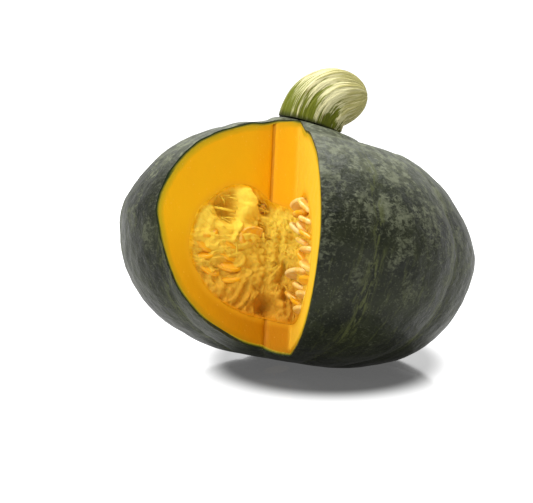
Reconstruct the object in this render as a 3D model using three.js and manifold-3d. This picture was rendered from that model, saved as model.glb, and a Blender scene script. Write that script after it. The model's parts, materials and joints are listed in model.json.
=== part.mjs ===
// A kabocha squash with a wedge cut out of it, leaning back on a flat spot.
// Millimetres, +Z up. The origin is the centre of the flat spot that it rests on,
// and the cut opening faces -Y and -X.

import * as THREE from 'three';
import { mergeVertices } from 'three/addons/utils/BufferGeometryUtils.js';
import Module from 'manifold-3d';

const wasm = await Module();
wasm.setup();

// Driving dimensions of the fruit, about its own axis of growth.
const SQUASH_RADIUS = 95;
const CROWN_HEIGHT = 60.8;
const BASE_DEPTH = 63.6;
const RIND_THICKNESS = 1.8;
const JOINT_GAP = 0.3;

// The ribs: ten shallow lobes, with a furrow every 36 degrees. The furrows press towards the
// axis, at FURROW_AIM of their own height.
const RIB_COUNT = 10;
const FURROW_PHASE = 24.7;
const FURROW_DEPTH = 2.4;
const CROWN_FURROW_DEPTH = 1;
const FURROW_SHARPNESS = 1.6;
const FURROW_AIM = 0.5;
const FURROW_START = 20;
const FURROW_FULL = 46;
const CROWN_START = 20;
const CROWN_FULL = 40;

// The crown slopes down to the right, where the stem leans.
const CROWN_SLANT = 0.12;
const CROWN_SLANT_INNER = 20;
const CROWN_SLANT_OUTER = 50;

// How the fruit stands: its axis leans right, then back, off the flat spot.
const LEAN_RIGHT = 9.5;
const LEAN_BACK = 8;
const AXIS_FOOT = new THREE.Vector3(-16, -12.8, 65);

// The seed hollow, about the same axis. Its roof hangs down in the middle, under the stem.
const HOLLOW_RADIUS = 75;
const HOLLOW_ROOF = 22.4;
const HOLLOW_ROOF_MIDDLE = 13;
const HOLLOW_BOTTOM = -44;

// The three knife cuts round the missing wedge. Each faces into the opening:
// facing is counted from -Y towards +X, rise is up from level, and reach is its distance from
// the middle of the fruit.
const RIGHT_CUT = { facing: -79.8, rise: -4.4, reach: 6.5 };
const MIDDLE_CUT = { facing: -3, rise: 13, reach: 29.5 };
const LEFT_CUT = { facing: 27.2, rise: 14.9, reach: 19 };

// The torn pulp face lies behind the cuts and is lumpy. LUMP_SHARE of the lumps swell, and the
// others are dimples. LUMP_CORNER and LUMP_FIELD are the near corner and the size of the space
// that they are strewn in. Nothing but seeds and strands stands out more than TORN_LIMIT.
const PULP_RECESS = 2.2;
const TORN_LIMIT = 1.2;
const LUMP_DRAW = 421;
const LUMP_COUNT = 46;
const LUMP_CORNER = [-70, -75, -42];
const LUMP_FIELD = [85, 62, 64];
const LUMP_SHARE = 0.55;
const LUMP_HEIGHT = 2.6;
const DIMPLE_HEIGHT = -1.2;
const LUMP_SPREAD = 5;
const LUMP_SPREAD_LEAST = 0.7;
const LUMP_SPREAD_RANGE = 0.7;
const FIBRE_HEIGHT = 0.7;
const FIBRES_ROUND = 34;
const FIBRE_SWIRL = 0.12;
const PULP_MIDDLE = new THREE.Vector3(-4, -14, -10);

// Pits torn right into the pulp: where they open, how wide and how deep they are.
const PITS = [
  { at: [-37, -37.5, 10], radius: 6, depth: 12 },
  { at: [-18, -27, 14], radius: 4.6, depth: 7 },
  { at: [-18, -30.5, 3], radius: 2.6, depth: 5 },
  { at: [-3, -35, -22], radius: 4, depth: 6 },
  { at: [-10, -38, -37], radius: 4.6, depth: 7 },
];

// Two swollen seed pockets that stand out between the pits.
const POCKETS = [
  { at: [-29.6, -33.5, 12.5], radius: 7.5, height: 4 },
  { at: [-24.6, -35.5, -3], radius: 7, height: 4.2 },
];

// Seeds, rooted in the pulp: a flat drop, drawn in towards its pointed end.
const SEED_LENGTH = 15.5;
const SEED_WIDTH = 9.4;
const SEED_THICKNESS = 3.4;
const SEED_TAPER = 0.32;
const SEED_ROUNDING = 0.1;
const SEED_AROUND = 8;
const SEED_ALONG = 6;

// The seeds hang in two rows inside the hollow's wall. On the right cut they stand on edge and
// stick out, and on the left one they lie flatter. low and high are the heights of the rows'
// ends, and lowRise and highRise are how far the middles of the seeds stand out of the torn
// face there. tip and tipSpread say how far they are turned on edge.
const RIGHT_SEEDS = {
  count: 15,
  low: -36,
  high: 16,
  lowRise: -0.8,
  highRise: 1.2,
  wall: 9,
  row: 12,
  tip: 1.15,
  tipSpread: 0.5,
};
const LEFT_SEEDS = {
  count: 9,
  low: -34,
  high: -9,
  lowRise: 0.4,
  highRise: 0.4,
  wall: 9,
  row: 13,
  tip: 0.3,
  tipSpread: 0.7,
};
const SEED_DRAW = 97;
const SEED_SCATTER = 3;
const SEED_SINK_SCATTER = 1;
const SEED_SPIN = 0.9;

// Loose strands, which arch over the torn face between two sunk ends.
const STRAND_DRAW = 733;
const STRAND_COUNT = 16;
const STRAND_RADIUS = 0.8;
const STRAND_SIDES = 5;
const STRAND_STEPS = 7;
const STRAND_LENGTH = 13;
const STRAND_LENGTH_SPREAD = 10;
const STRAND_ARCH = 3.2;
const STRAND_ARCH_SPREAD = 2;
const STRAND_ROOT = -3;
const RIGHT_STRANDS = { across: 46, up: -10, wide: 20, tall: 40 };
const LEFT_STRANDS = { across: -46, up: -10, wide: 30, tall: 34 };

// The stem: a corky ridged stub that bends to the right. Its rings crowd towards its end.
const STEM_RADIUS = 15.8;
const STEM_SWELL = 1.2;
const STEM_ROUNDNESS = 3.2;
const STEM_LENGTH = 39;
const STEM_BEND = 70;
const STEM_BEND_RADIUS = 20;
const STEM_TURN = 14;
const STEM_TWIST = 0.35;
const STEM_RIDGES = 8;
const STEM_RIDGE_HEIGHT = 0.8;
const STEM_CENTRE = -4.3;
const STEM_STEPS = 14;
const STEM_CROWDING = 1.6;
const STEM_SIDES_PER_RIDGE = 4;

// Colours and finishes.
const RIND_FINISH = { color: 0x2b352c, roughness: 0.5, metalness: 0 };
const FLESH_FINISH = { color: 0xf0a81c, roughness: 0.55, metalness: 0 };
const PULP_FINISH = { color: 0xe9ae3c, roughness: 0.6, metalness: 0 };
const STEM_FINISH = { color: 0xc9bf86, roughness: 0.85, metalness: 0 };

// Mesh fineness. HOLLOW_WALL_FROM is the radius where the hollow's roof and floor end.
const AROUND = 50;
const ALONG = 26;
const HOLLOW_AROUND = 36;
const HOLLOW_ALONG = 22;
const HOLLOW_WALL_FROM = 45;
const HOLLOW_WALL_SAMPLES = 160;
const CUT_GRID = 3.6;
const CUT_SIZE = 300;
const MERGE_WITHIN = 1e-4;

// The number stream of the seeded rules.
const DRAW_FACTOR = 16807;
const DRAW_MODULUS = 2147483647;

const UP = new THREE.Vector3(0, 0, 1);
const deg = THREE.MathUtils.degToRad;

// A repeatable draw between 0 and 1, one number stream for each seed value.
function makeDraw(seed) {
  let state = seed;
  return () => {
    state = (state * DRAW_FACTOR) % DRAW_MODULUS;
    return state / DRAW_MODULUS;
  };
}

// Turns a closed geometry into a solid that can be cut and joined.
function toSolid(geometry) {
  const bare = geometry.clone();
  bare.deleteAttribute('normal');
  bare.deleteAttribute('uv');
  const merged = mergeVertices(bare, MERGE_WITHIN);
  const index = merged.index.array;
  const corners = [];
  for (let i = 0; i < index.length; i += 3) {
    const [a, b, c] = [index[i], index[i + 1], index[i + 2]];
    if (a !== b && b !== c && c !== a) {
      corners.push(a, b, c);
    }
  }
  return new wasm.Manifold(new wasm.Mesh({
    numProp: 3,
    vertProperties: Float32Array.from(merged.attributes.position.array),
    triVerts: Uint32Array.from(corners),
  }));
}

// Turns a solid back into a geometry.
function toGeometry(solid) {
  const mesh = solid.getMesh();
  const geometry = new THREE.BufferGeometry();
  const places = Float32Array.from(mesh.vertProperties);
  geometry.setAttribute('position', new THREE.BufferAttribute(places, 3));
  geometry.setIndex(new THREE.BufferAttribute(Uint32Array.from(mesh.triVerts), 1));
  geometry.computeVertexNormals();
  return geometry;
}

// The largest connected body of a solid: loose scraps and sealed bubbles are dropped.
function mainBody(solid) {
  return solid.decompose().sort((a, b) => b.volume() - a.volume())[0];
}

// Moves every point of a geometry by a function of the point.
function reshape(geometry, move) {
  const position = geometry.attributes.position;
  const point = new THREE.Vector3();
  for (let i = 0; i < position.count; i += 1) {
    point.fromBufferAttribute(position, i);
    move(point, i);
    position.setXYZ(i, point.x, point.y, point.z);
  }
  return geometry;
}

// The fruit's outline, as radius and height, from the blossom end up to the stem.
const OUTLINE = new THREE.SplineCurve([
  new THREE.Vector2(0, -BASE_DEPTH + 0.4),
  new THREE.Vector2(26, -BASE_DEPTH),
  new THREE.Vector2(39, -62),
  new THREE.Vector2(50, -58.6),
  new THREE.Vector2(61.8, -53.8),
  new THREE.Vector2(72, -47.2),
  new THREE.Vector2(81, -38.2),
  new THREE.Vector2(88.2, -26.8),
  new THREE.Vector2(92.8, -13),
  new THREE.Vector2(SQUASH_RADIUS - 0.6, 0),
  new THREE.Vector2(92, 10.6),
  new THREE.Vector2(85.2, 23.6),
  new THREE.Vector2(76, 35),
  new THREE.Vector2(64.8, 44),
  new THREE.Vector2(51.6, 50.8),
  new THREE.Vector2(42, 53.8),
  new THREE.Vector2(34, 54.8),
  new THREE.Vector2(27, 56.8),
  new THREE.Vector2(20.5, CROWN_HEIGHT - 1),
  new THREE.Vector2(0, CROWN_HEIGHT),
]);

// The seed hollow's outline, as radius and height.
const HOLLOW_OUTLINE = new THREE.SplineCurve([
  new THREE.Vector2(0, HOLLOW_BOTTOM),
  new THREE.Vector2(26, HOLLOW_BOTTOM - 0.4),
  new THREE.Vector2(40, HOLLOW_BOTTOM - 0.4),
  new THREE.Vector2(52, HOLLOW_BOTTOM + 1.6),
  new THREE.Vector2(64.5, -36),
  new THREE.Vector2(72, -26),
  new THREE.Vector2(HOLLOW_RADIUS, -15),
  new THREE.Vector2(73.5, -4),
  new THREE.Vector2(70, 4.5),
  new THREE.Vector2(65, 10.5),
  new THREE.Vector2(59.5, 15.4),
  new THREE.Vector2(53, 20),
  new THREE.Vector2(45, HOLLOW_ROOF),
  new THREE.Vector2(38, 21.4),
  new THREE.Vector2(32.5, 17.6),
  new THREE.Vector2(27, 14.4),
  new THREE.Vector2(18, HOLLOW_ROOF_MIDDLE + 0.2),
  new THREE.Vector2(0, HOLLOW_ROOF_MIDDLE),
]);

// Turns an outline round the axis of growth, moved inwards by inset.
function turned(outline, along, around, inset) {
  const samples = outline.getSpacedPoints(along);
  const inner = samples.map((point, i) => {
    const before = samples[Math.max(i - 1, 0)];
    const after = samples[Math.min(i + 1, along)];
    const slope = new THREE.Vector2().subVectors(after, before).normalize();
    const moved = new THREE.Vector2(point.x - slope.y * inset, point.y + slope.x * inset);
    return i === 0 || i === along ? new THREE.Vector2(0, moved.y) : moved;
  });
  const phase = deg(FURROW_PHASE);
  const lathe = new THREE.LatheGeometry(inner, around, phase, 2 * Math.PI);
  return lathe.rotateX(Math.PI / 2);
}

// How deep the furrows press at a point: deepest in the valleys, none at the poles.
function furrowPress(point) {
  const radius = Math.hypot(point.x, point.y);
  const azimuth = Math.atan2(point.x, -point.y) - deg(FURROW_PHASE);
  const valley = Math.pow(1 - Math.abs(Math.sin((RIB_COUNT / 2) * azimuth)), FURROW_SHARPNESS);
  const pole = THREE.MathUtils.smoothstep(radius, FURROW_START, FURROW_FULL);
  const crown = THREE.MathUtils.smoothstep(point.z, CROWN_START, CROWN_FULL);
  const depth = THREE.MathUtils.lerp(FURROW_DEPTH, CROWN_FURROW_DEPTH, crown);
  return valley * pole * depth;
}

// The slope of the crown towards the right, fading out past the shoulder.
function crownSlant(point) {
  const radius = Math.hypot(point.x, point.y);
  const span = CROWN_SLANT_OUTER - CROWN_SLANT_INNER;
  const share = THREE.MathUtils.clamp((CROWN_SLANT_OUTER - radius) / span, 0, 1);
  return point.z > 0 ? CROWN_SLANT * share * point.x : 0;
}

// Where the fruit stands: leaned right and back, with its axis over the flat spot.
const STAND = new THREE.Matrix4()
  .makeRotationX(deg(-LEAN_BACK))
  .multiply(new THREE.Matrix4().makeRotationY(deg(LEAN_RIGHT)))
  .setPosition(AXIS_FOOT);

// The outer skin of the fruit, moved inwards by inset, standing and flat underneath.
function skin(inset) {
  const body = turned(OUTLINE, ALONG, AROUND, inset);
  reshape(body, (point) => {
    const centre = new THREE.Vector3(0, 0, point.z * FURROW_AIM);
    const inward = centre.sub(point).normalize();
    const slant = crownSlant(point);
    point.addScaledVector(inward, furrowPress(point));
    point.z -= slant;
  });
  body.applyMatrix4(STAND);
  return reshape(body, (point) => {
    point.z = Math.max(point.z, inset);
  });
}

// The seed hollow, moved inwards by inset, about the axis of growth.
function hollow(inset) {
  return turned(HOLLOW_OUTLINE, HOLLOW_ALONG, HOLLOW_AROUND, inset);
}

// The frame of a cut: two directions across its face, and the one that it faces.
function cutFrame(cut) {
  const facing = deg(cut.facing);
  const rise = deg(cut.rise);
  const outward = new THREE.Vector3(
    Math.sin(facing) * Math.cos(rise),
    -Math.cos(facing) * Math.cos(rise),
    Math.sin(rise),
  );
  const across = new THREE.Vector3().crossVectors(UP, outward).normalize();
  const upward = new THREE.Vector3().crossVectors(outward, across);
  return { across, upward, outward };
}

// All that lies in front of a cut. Its face is a grid where relief moves it in or out.
function frontOf(cut, relief) {
  const { across, upward, outward } = cutFrame(cut);
  const steps = relief ? Math.round(CUT_SIZE / CUT_GRID) : 1;
  const block = new THREE.BoxGeometry(CUT_SIZE, CUT_SIZE, CUT_SIZE, steps, steps, 1);
  const place = new THREE.Matrix4().makeBasis(across, upward, outward);
  place.setPosition(outward.clone().multiplyScalar(cut.reach + CUT_SIZE / 2));
  const edge = CUT_SIZE / 2 - CUT_GRID / 2;
  const atFace = (point) => point.z < -edge && Math.abs(point.x) < edge && Math.abs(point.y) < edge;
  const inner = [];
  reshape(block, (point, i) => {
    inner[i] = atFace(point);
  });
  block.applyMatrix4(place);
  return reshape(block, (point, i) => {
    if (relief && inner[i]) {
      point.addScaledVector(outward, relief(point));
    }
  });
}

// The missing wedge: what lies in front of all three cuts.
function wedge(relief) {
  const blocks = [RIGHT_CUT, MIDDLE_CUT, LEFT_CUT].map((cut) => toSolid(frontOf(cut, relief)));
  return blocks[0].intersect(blocks[1]).intersect(blocks[2]);
}

// Lumps and dimples of the torn pulp, at seeded places in and round the opening.
function makeLumps() {
  const draw = makeDraw(LUMP_DRAW);
  const lumps = [];
  for (let i = 0; i < LUMP_COUNT; i += 1) {
    const place = LUMP_CORNER.map((corner, axis) => corner + LUMP_FIELD[axis] * draw());
    lumps.push({
      at: new THREE.Vector3(...place),
      height: LUMP_HEIGHT * (draw() < LUMP_SHARE ? 1 : DIMPLE_HEIGHT),
      spread: LUMP_SPREAD * (LUMP_SPREAD_LEAST + LUMP_SPREAD_RANGE * draw()),
    });
  }
  return lumps;
}

const LUMPS = makeLumps();

// How far the torn face stands out of a cut at a point: fibres that run out from the middle
// of the pulp, lumps between them, the swollen pockets and the pits.
function pulpRelief(point) {
  const arm = new THREE.Vector3().subVectors(point, PULP_MIDDLE);
  const turn = Math.atan2(arm.z, Math.hypot(arm.x, arm.y));
  const wave = FIBRES_ROUND * turn + FIBRE_SWIRL * arm.length();
  let height = -PULP_RECESS + FIBRE_HEIGHT * Math.sin(wave);
  for (const lump of LUMPS) {
    const far = point.distanceTo(lump.at) / lump.spread;
    height += lump.height * Math.exp(-far * far);
  }
  for (const pocket of POCKETS) {
    const far = point.distanceTo(new THREE.Vector3(...pocket.at)) / pocket.radius;
    height += pocket.height * Math.exp(-far * far * far);
  }
  for (const pit of PITS) {
    const far = point.distanceTo(new THREE.Vector3(...pit.at)) / pit.radius;
    height -= pit.depth * Math.exp(-far * far * far);
  }
  return Math.min(height, TORN_LIMIT);
}

// A seed lying along +X: a flattened ball, drawn in towards its pointed end.
function seedShape() {
  const ball = new THREE.SphereGeometry(1, SEED_AROUND, SEED_ALONG);
  ball.rotateZ(Math.PI / 2);
  return reshape(ball, (point) => {
    const taper = 1 - SEED_TAPER * point.x - SEED_ROUNDING * point.x * point.x;
    point.set(
      (point.x * SEED_LENGTH) / 2,
      (point.y * taper * SEED_WIDTH) / 2,
      (point.z * SEED_THICKNESS) / 2,
    );
  });
}

// One seed on a cut face: at is its place across and up the face, spin turns it in the face,
// tip tilts its flat side out of the face, and rise lifts its middle out of the torn face.
function plantedSeed(cut, at, spin, tip, rise) {
  const { across, upward, outward } = cutFrame(cut);
  const basis = new THREE.Matrix4().makeBasis(across, upward, outward);
  const seed = seedShape().rotateX(tip).rotateZ(spin).applyMatrix4(basis);
  const place = outward.clone().multiplyScalar(cut.reach - PULP_RECESS + rise);
  place.addScaledVector(across, at[0]).addScaledVector(upward, at[1]);
  return seed.translate(place.x, place.y, place.z);
}

// The hollow's radius at a height on the axis of growth.
function hollowRadius(height) {
  const samples = HOLLOW_OUTLINE.getSpacedPoints(HOLLOW_WALL_SAMPLES);
  const wall = samples.filter((point) => point.x > HOLLOW_WALL_FROM);
  return wall.reduce((best, point) => (
    Math.abs(point.y - height) < Math.abs(best.y - height) ? point : best)).x;
}

// Rows of seeds on one cut face, on the side that sign gives.
function seedRows(cut, rows, sign, draw) {
  const placed = [];
  for (let i = 0; i < rows.count; i += 1) {
    const share = i / (rows.count - 1);
    const up = THREE.MathUtils.lerp(rows.low, rows.high, share);
    const height = up * Math.cos(deg(cut.rise)) + cut.reach * Math.sin(deg(cut.rise));
    const wall = Math.sqrt(hollowRadius(height) ** 2 - cut.reach ** 2);
    const inside = rows.wall + (i % 2) * rows.row + SEED_SCATTER * draw();
    const spin = SEED_SPIN * (draw() - 0.5) + (sign < 0 ? Math.PI : 0);
    const tip = rows.tip + rows.tipSpread * draw();
    const most = THREE.MathUtils.lerp(rows.lowRise, rows.highRise, share);
    const rise = most - SEED_SINK_SCATTER * draw();
    placed.push(plantedSeed(cut, [sign * (wall - inside), up], spin, tip, rise));
  }
  return placed;
}

// All the seeds.
function seeds() {
  const draw = makeDraw(SEED_DRAW);
  return [...seedRows(RIGHT_CUT, RIGHT_SEEDS, 1, draw), ...seedRows(LEFT_CUT, LEFT_SEEDS, -1, draw)];
}

// A strand that arches over the pulp face between two sunk ends.
function strand(cut, from, to, arch) {
  const { across, upward, outward } = cutFrame(cut);
  const at = (place, height) => outward.clone()
    .multiplyScalar(cut.reach - PULP_RECESS + height)
    .addScaledVector(across, place[0])
    .addScaledVector(upward, place[1]);
  const middle = [(from[0] + to[0]) / 2, (from[1] + to[1]) / 2];
  const ends = [at(from, STRAND_ROOT), at(to, STRAND_ROOT)];
  const path = new THREE.QuadraticBezierCurve3(ends[0], at(middle, arch), ends[1]);
  const section = new THREE.Shape();
  for (let i = 0; i < STRAND_SIDES; i += 1) {
    const turn = (2 * Math.PI * i) / STRAND_SIDES;
    const [x, y] = [STRAND_RADIUS * Math.cos(turn), STRAND_RADIUS * Math.sin(turn)];
    if (i === 0) {
      section.moveTo(x, y);
    } else {
      section.lineTo(x, y);
    }
  }
  section.closePath();
  const along = { steps: STRAND_STEPS, extrudePath: path, curveSegments: 1 };
  return new THREE.ExtrudeGeometry(section, along);
}

// Loose strands, from the hollow's wall in towards the middle, on both long cuts.
function strands() {
  const draw = makeDraw(STRAND_DRAW);
  const placed = [];
  for (let i = 0; i < STRAND_COUNT; i += 1) {
    const right = i % 2 === 0;
    const field = right ? RIGHT_STRANDS : LEFT_STRANDS;
    const turn = 2 * Math.PI * draw();
    const length = STRAND_LENGTH + STRAND_LENGTH_SPREAD * draw();
    const from = [
      field.across + field.wide * (draw() - 0.5),
      field.up + field.tall * (draw() - 0.5),
    ];
    const to = [from[0] + length * Math.cos(turn), from[1] + length * Math.sin(turn)];
    const arch = STRAND_ARCH + STRAND_ARCH_SPREAD * draw();
    placed.push(strand(right ? RIGHT_CUT : LEFT_CUT, from, to, arch));
  }
  return placed;
}

// The rind: the skin's outer shell, open at the cuts.
function rind() {
  const shell = toSolid(skin(0)).subtract(toSolid(skin(RIND_THICKNESS)));
  const opening = toSolid(toGeometry(wedge()).applyMatrix4(STAND));
  return toGeometry(mainBody(shell.subtract(opening)));
}

// The flesh: what fills the rind, round the seed hollow.
function flesh() {
  const filling = toSolid(skin(RIND_THICKNESS + JOINT_GAP));
  const seedHollow = toSolid(hollow(0).applyMatrix4(STAND));
  const opening = toSolid(toGeometry(wedge()).applyMatrix4(STAND));
  return toGeometry(mainBody(filling.subtract(seedHollow).subtract(opening)));
}

// The pulp: fills the seed hollow, torn at the opening, with its seeds and strands.
function pulp() {
  const filling = toSolid(hollow(JOINT_GAP));
  let mass = mainBody(filling.subtract(wedge(pulpRelief)));
  for (const piece of [...seeds(), ...strands()]) {
    mass = mass.add(toSolid(piece));
  }
  const trimmed = mainBody(mass.intersect(filling));
  return toGeometry(trimmed).applyMatrix4(STAND);
}

// The stem's radius at a share of its length: a slight swell, then a rounded end.
function stemRadius(share) {
  const rounding = Math.sqrt(1 - Math.pow(share, STEM_ROUNDNESS));
  return (STEM_RADIUS + STEM_SWELL * Math.sin(Math.PI * share)) * rounding;
}

// The stem: a ridged stub that bends to the right over an arc and then runs on straight.
function stem() {
  const profile = [new THREE.Vector2(0, 0)];
  for (let i = 0; i < STEM_STEPS; i += 1) {
    const share = 1 - Math.pow(1 - i / STEM_STEPS, STEM_CROWDING);
    profile.push(new THREE.Vector2(stemRadius(share), share * STEM_LENGTH));
  }
  profile.push(new THREE.Vector2(0, STEM_LENGTH));
  const stub = new THREE.LatheGeometry(profile, STEM_SIDES_PER_RIDGE * STEM_RIDGES).rotateX(Math.PI / 2);
  const bendLength = STEM_BEND_RADIUS * deg(STEM_BEND);
  reshape(stub, (point) => {
    const share = point.z / STEM_LENGTH;
    const azimuth = Math.atan2(point.y, point.x) + STEM_TWIST * share;
    const ridge = 1 + (STEM_RIDGE_HEIGHT * Math.cos(STEM_RIDGES * azimuth)) / STEM_RADIUS;
    const turn = Math.min(point.z, bendLength) / STEM_BEND_RADIUS;
    const beyond = Math.max(point.z - bendLength, 0);
    const out = STEM_BEND_RADIUS - point.x * ridge;
    point.set(
      STEM_BEND_RADIUS - out * Math.cos(turn) + beyond * Math.sin(turn),
      point.y * ridge,
      out * Math.sin(turn) + beyond * Math.cos(turn),
    );
  });
  stub.rotateZ(deg(STEM_TURN));
  stub.rotateY(Math.atan(CROWN_SLANT));
  stub.translate(STEM_CENTRE, 0, CROWN_HEIGHT + JOINT_GAP - CROWN_SLANT * STEM_CENTRE);
  return toGeometry(toSolid(stub.applyMatrix4(STAND)));
}

// One named piece with its own finish.
function piece(name, geometry, finish) {
  const mesh = new THREE.Mesh(geometry, new THREE.MeshStandardMaterial(finish));
  mesh.name = name;
  return mesh;
}

const squash = new THREE.Group();
squash.add(piece('rind', rind(), RIND_FINISH));
squash.add(piece('flesh', flesh(), FLESH_FINISH));
squash.add(piece('pulp', pulp(), PULP_FINISH));
squash.add(piece('stem', stem(), STEM_FINISH));

export default squash;
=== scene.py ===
"""The looks of a kabocha squash with one wedge cut out of it.

All sizes are metres. Shapes are first worked out about the fruit's own axis of growth, with the
stem up, and then stood up: leaned right and back on the flat spot under the fruit.
"""

import json
import logging
import math
from dataclasses import dataclass
from enum import Enum
from typing import Callable, Optional, Sequence

import bpy
import numpy as np
from mathutils import Matrix, Vector

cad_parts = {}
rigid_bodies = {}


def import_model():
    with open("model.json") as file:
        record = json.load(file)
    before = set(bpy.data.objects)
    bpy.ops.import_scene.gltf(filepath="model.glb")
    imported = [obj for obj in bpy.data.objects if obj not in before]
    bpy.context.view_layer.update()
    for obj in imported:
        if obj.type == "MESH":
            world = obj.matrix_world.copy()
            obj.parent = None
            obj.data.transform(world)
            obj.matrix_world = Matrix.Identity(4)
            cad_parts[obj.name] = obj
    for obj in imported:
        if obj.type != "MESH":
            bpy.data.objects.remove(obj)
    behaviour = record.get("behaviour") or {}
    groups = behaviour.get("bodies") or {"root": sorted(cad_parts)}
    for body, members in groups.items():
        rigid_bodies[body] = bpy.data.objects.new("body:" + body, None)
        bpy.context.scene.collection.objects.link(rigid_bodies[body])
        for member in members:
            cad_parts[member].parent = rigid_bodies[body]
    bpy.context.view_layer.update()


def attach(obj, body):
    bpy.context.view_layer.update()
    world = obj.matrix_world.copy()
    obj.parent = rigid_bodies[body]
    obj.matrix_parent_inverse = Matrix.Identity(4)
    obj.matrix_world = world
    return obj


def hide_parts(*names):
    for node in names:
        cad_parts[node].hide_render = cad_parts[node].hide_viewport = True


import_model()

MM = 0.001
LOG = logging.getLogger("squash")
Array = np.ndarray
Relief = Callable[[Array], Array]


class Slot(Enum):
    """The material slots of the record."""

    RIND = "rind"
    FLESH = "flesh"
    PULP = "pulp"
    SEED = "seed"
    STEM = "stem"


def unit(vectors: Array) -> Array:
    """Vectors divided by their own lengths.

    Args:
        vectors: rows of x, y, z.

    Returns:
        Rows of length one.
    """
    return vectors / np.maximum(np.linalg.norm(vectors, axis=-1, keepdims=True), 1e-12)


def ease(low: float, high: float, value: Array) -> Array:
    """A smooth step: 0 below low, 1 above high, 3t^2 - 2t^3 between them.

    Args:
        low: where the step starts.
        high: where it ends.
        value: numbers to step.

    Returns:
        Numbers from 0 to 1.
    """
    share = np.clip((value - low) / (high - low), 0.0, 1.0)
    return share * share * (3.0 - 2.0 * share)


@dataclass(frozen=True)
class Noise:
    """Repeatable noise in space, the same on every run."""

    seed: int

    def _hash(self, cells: Array) -> Array:
        """A number from 0 to 1 for each whole-number cell.

        Args:
            cells: rows of three whole numbers.

        Returns:
            One number for each row.
        """
        mask = np.int64(0xFFFFFFFF)
        mixed = cells[..., 0] * 73856093 ^ cells[..., 1] * 19349663 ^ cells[..., 2] * 83492791
        mixed = (mixed ^ (self.seed * 2654435761)) & mask
        mixed = ((mixed ^ (mixed >> 15)) * 2246822519) & mask
        mixed = ((mixed ^ (mixed >> 13)) * 3266489917) & mask
        return ((mixed ^ (mixed >> 16)) & mask) / float(0xFFFFFFFF)

    def waves(self, points: Array, scale: float) -> Array:
        """Soft lumps: random corner values, blended across each cell of the given size.

        Args:
            points: rows of x, y, z.
            scale: size of a cell.

        Returns:
            Numbers from -1 to 1.
        """
        spot = points / scale
        low = np.floor(spot).astype(np.int64)
        part = spot - low
        part = part * part * (3.0 - 2.0 * part)
        total = np.zeros(points.shape[:-1])
        for corner in np.ndindex(2, 2, 2):
            weight = np.prod(np.where(np.array(corner) == 1, part, 1.0 - part), axis=-1)
            total += weight * self._hash(low + np.array(corner))
        return 2.0 * total - 1.0

    def layered(self, points: Array, scale: float, octaves: int) -> Array:
        """Waves at several sizes, each half as large and half as strong as the one before.

        Args:
            points: rows of x, y, z.
            scale: size of the largest cell.
            octaves: how many sizes.

        Returns:
            Numbers from about -1 to 1.
        """
        total = np.zeros(points.shape[:-1])
        for step in range(octaves):
            total += self.waves(points + 7.13 * scale * step, scale / 2 ** step) / 2 ** step
        return total / 1.6

    def cells(self, points: Array, scale: float) -> Array:
        """Distance to the nearest of the scattered cell centres, over the cell size.

        Args:
            points: rows of x, y, z.
            scale: size of a cell.

        Returns:
            Numbers from 0 at a centre to about 1.
        """
        spot = points / scale
        low = np.floor(spot).astype(np.int64)
        nearest = np.full(points.shape[:-1], 9.0)
        for offset in np.ndindex(3, 3, 3):
            cell = low + np.array(offset) - 1
            jitter = np.stack([Noise(self.seed + k)._hash(cell) for k in (1, 2, 3)], axis=-1)
            nearest = np.minimum(nearest, np.linalg.norm(cell + jitter - spot, axis=-1))
        return nearest


@dataclass(frozen=True)
class Outline:
    """A smooth outline through points of radius and height, in millimetres."""

    points: tuple

    def sample(self, count: int) -> Array:
        """Evenly spaced points on the Catmull-Rom curve through the outline's points.

        Args:
            count: how many stretches of equal length.

        Returns:
            count + 1 rows of radius and height, in metres.
        """
        knots = np.array(self.points, float) * MM
        last = len(knots) - 1
        place = np.linspace(0.0, last, 4000)
        start = np.minimum(place.astype(int), last - 1)
        t = (place - start)[:, None]
        a = knots[np.maximum(start - 1, 0)]
        b = knots[start]
        c = knots[start + 1]
        d = knots[np.minimum(start + 2, last)]
        v0, v1 = (c - a) / 2, (d - b) / 2
        curve = (2 * b - 2 * c + v0 + v1) * t ** 3 + (-3 * b + 3 * c - 2 * v0 - v1) * t ** 2
        curve = curve + v0 * t + b
        length = np.concatenate([[0.0], np.cumsum(np.linalg.norm(np.diff(curve, axis=0), axis=1))])
        even = np.linspace(0.0, length[-1], count + 1)
        return np.stack([np.interp(even, length, curve[:, k]) for k in (0, 1)], axis=1)

    def inset(self, count: int, depth: float) -> Array:
        """The sampled outline moved inwards, square to itself.

        Args:
            count: how many stretches.
            depth: how far inwards.

        Returns:
            Rows of radius and height, with both ends kept on the axis.
        """
        line = self.sample(count)
        index = np.arange(count + 1)
        run = line[np.minimum(index + 1, count)] - line[np.maximum(index - 1, 0)]
        run = unit(run)
        moved = line + depth * np.stack([-run[:, 1], run[:, 0]], axis=1)
        moved[[0, -1], 0] = 0.0
        return moved

    def depth(self, points: Array) -> Array:
        """How far points lie from the outline turned round the axis.

        Args:
            points: rows of x, y, z about the axis of growth.

        Returns:
            Distances, without sign.
        """
        line = self.sample(500)
        flat = np.stack([np.hypot(points[:, 0], points[:, 1]), points[:, 2]], axis=1)
        nearest = np.full(len(flat), 1.0)
        for part in np.array_split(line, 25):
            gap = np.linalg.norm(flat[:, None, :] - part[None, :, :], axis=2)
            nearest = np.minimum(nearest, gap.min(axis=1))
        return nearest


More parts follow.
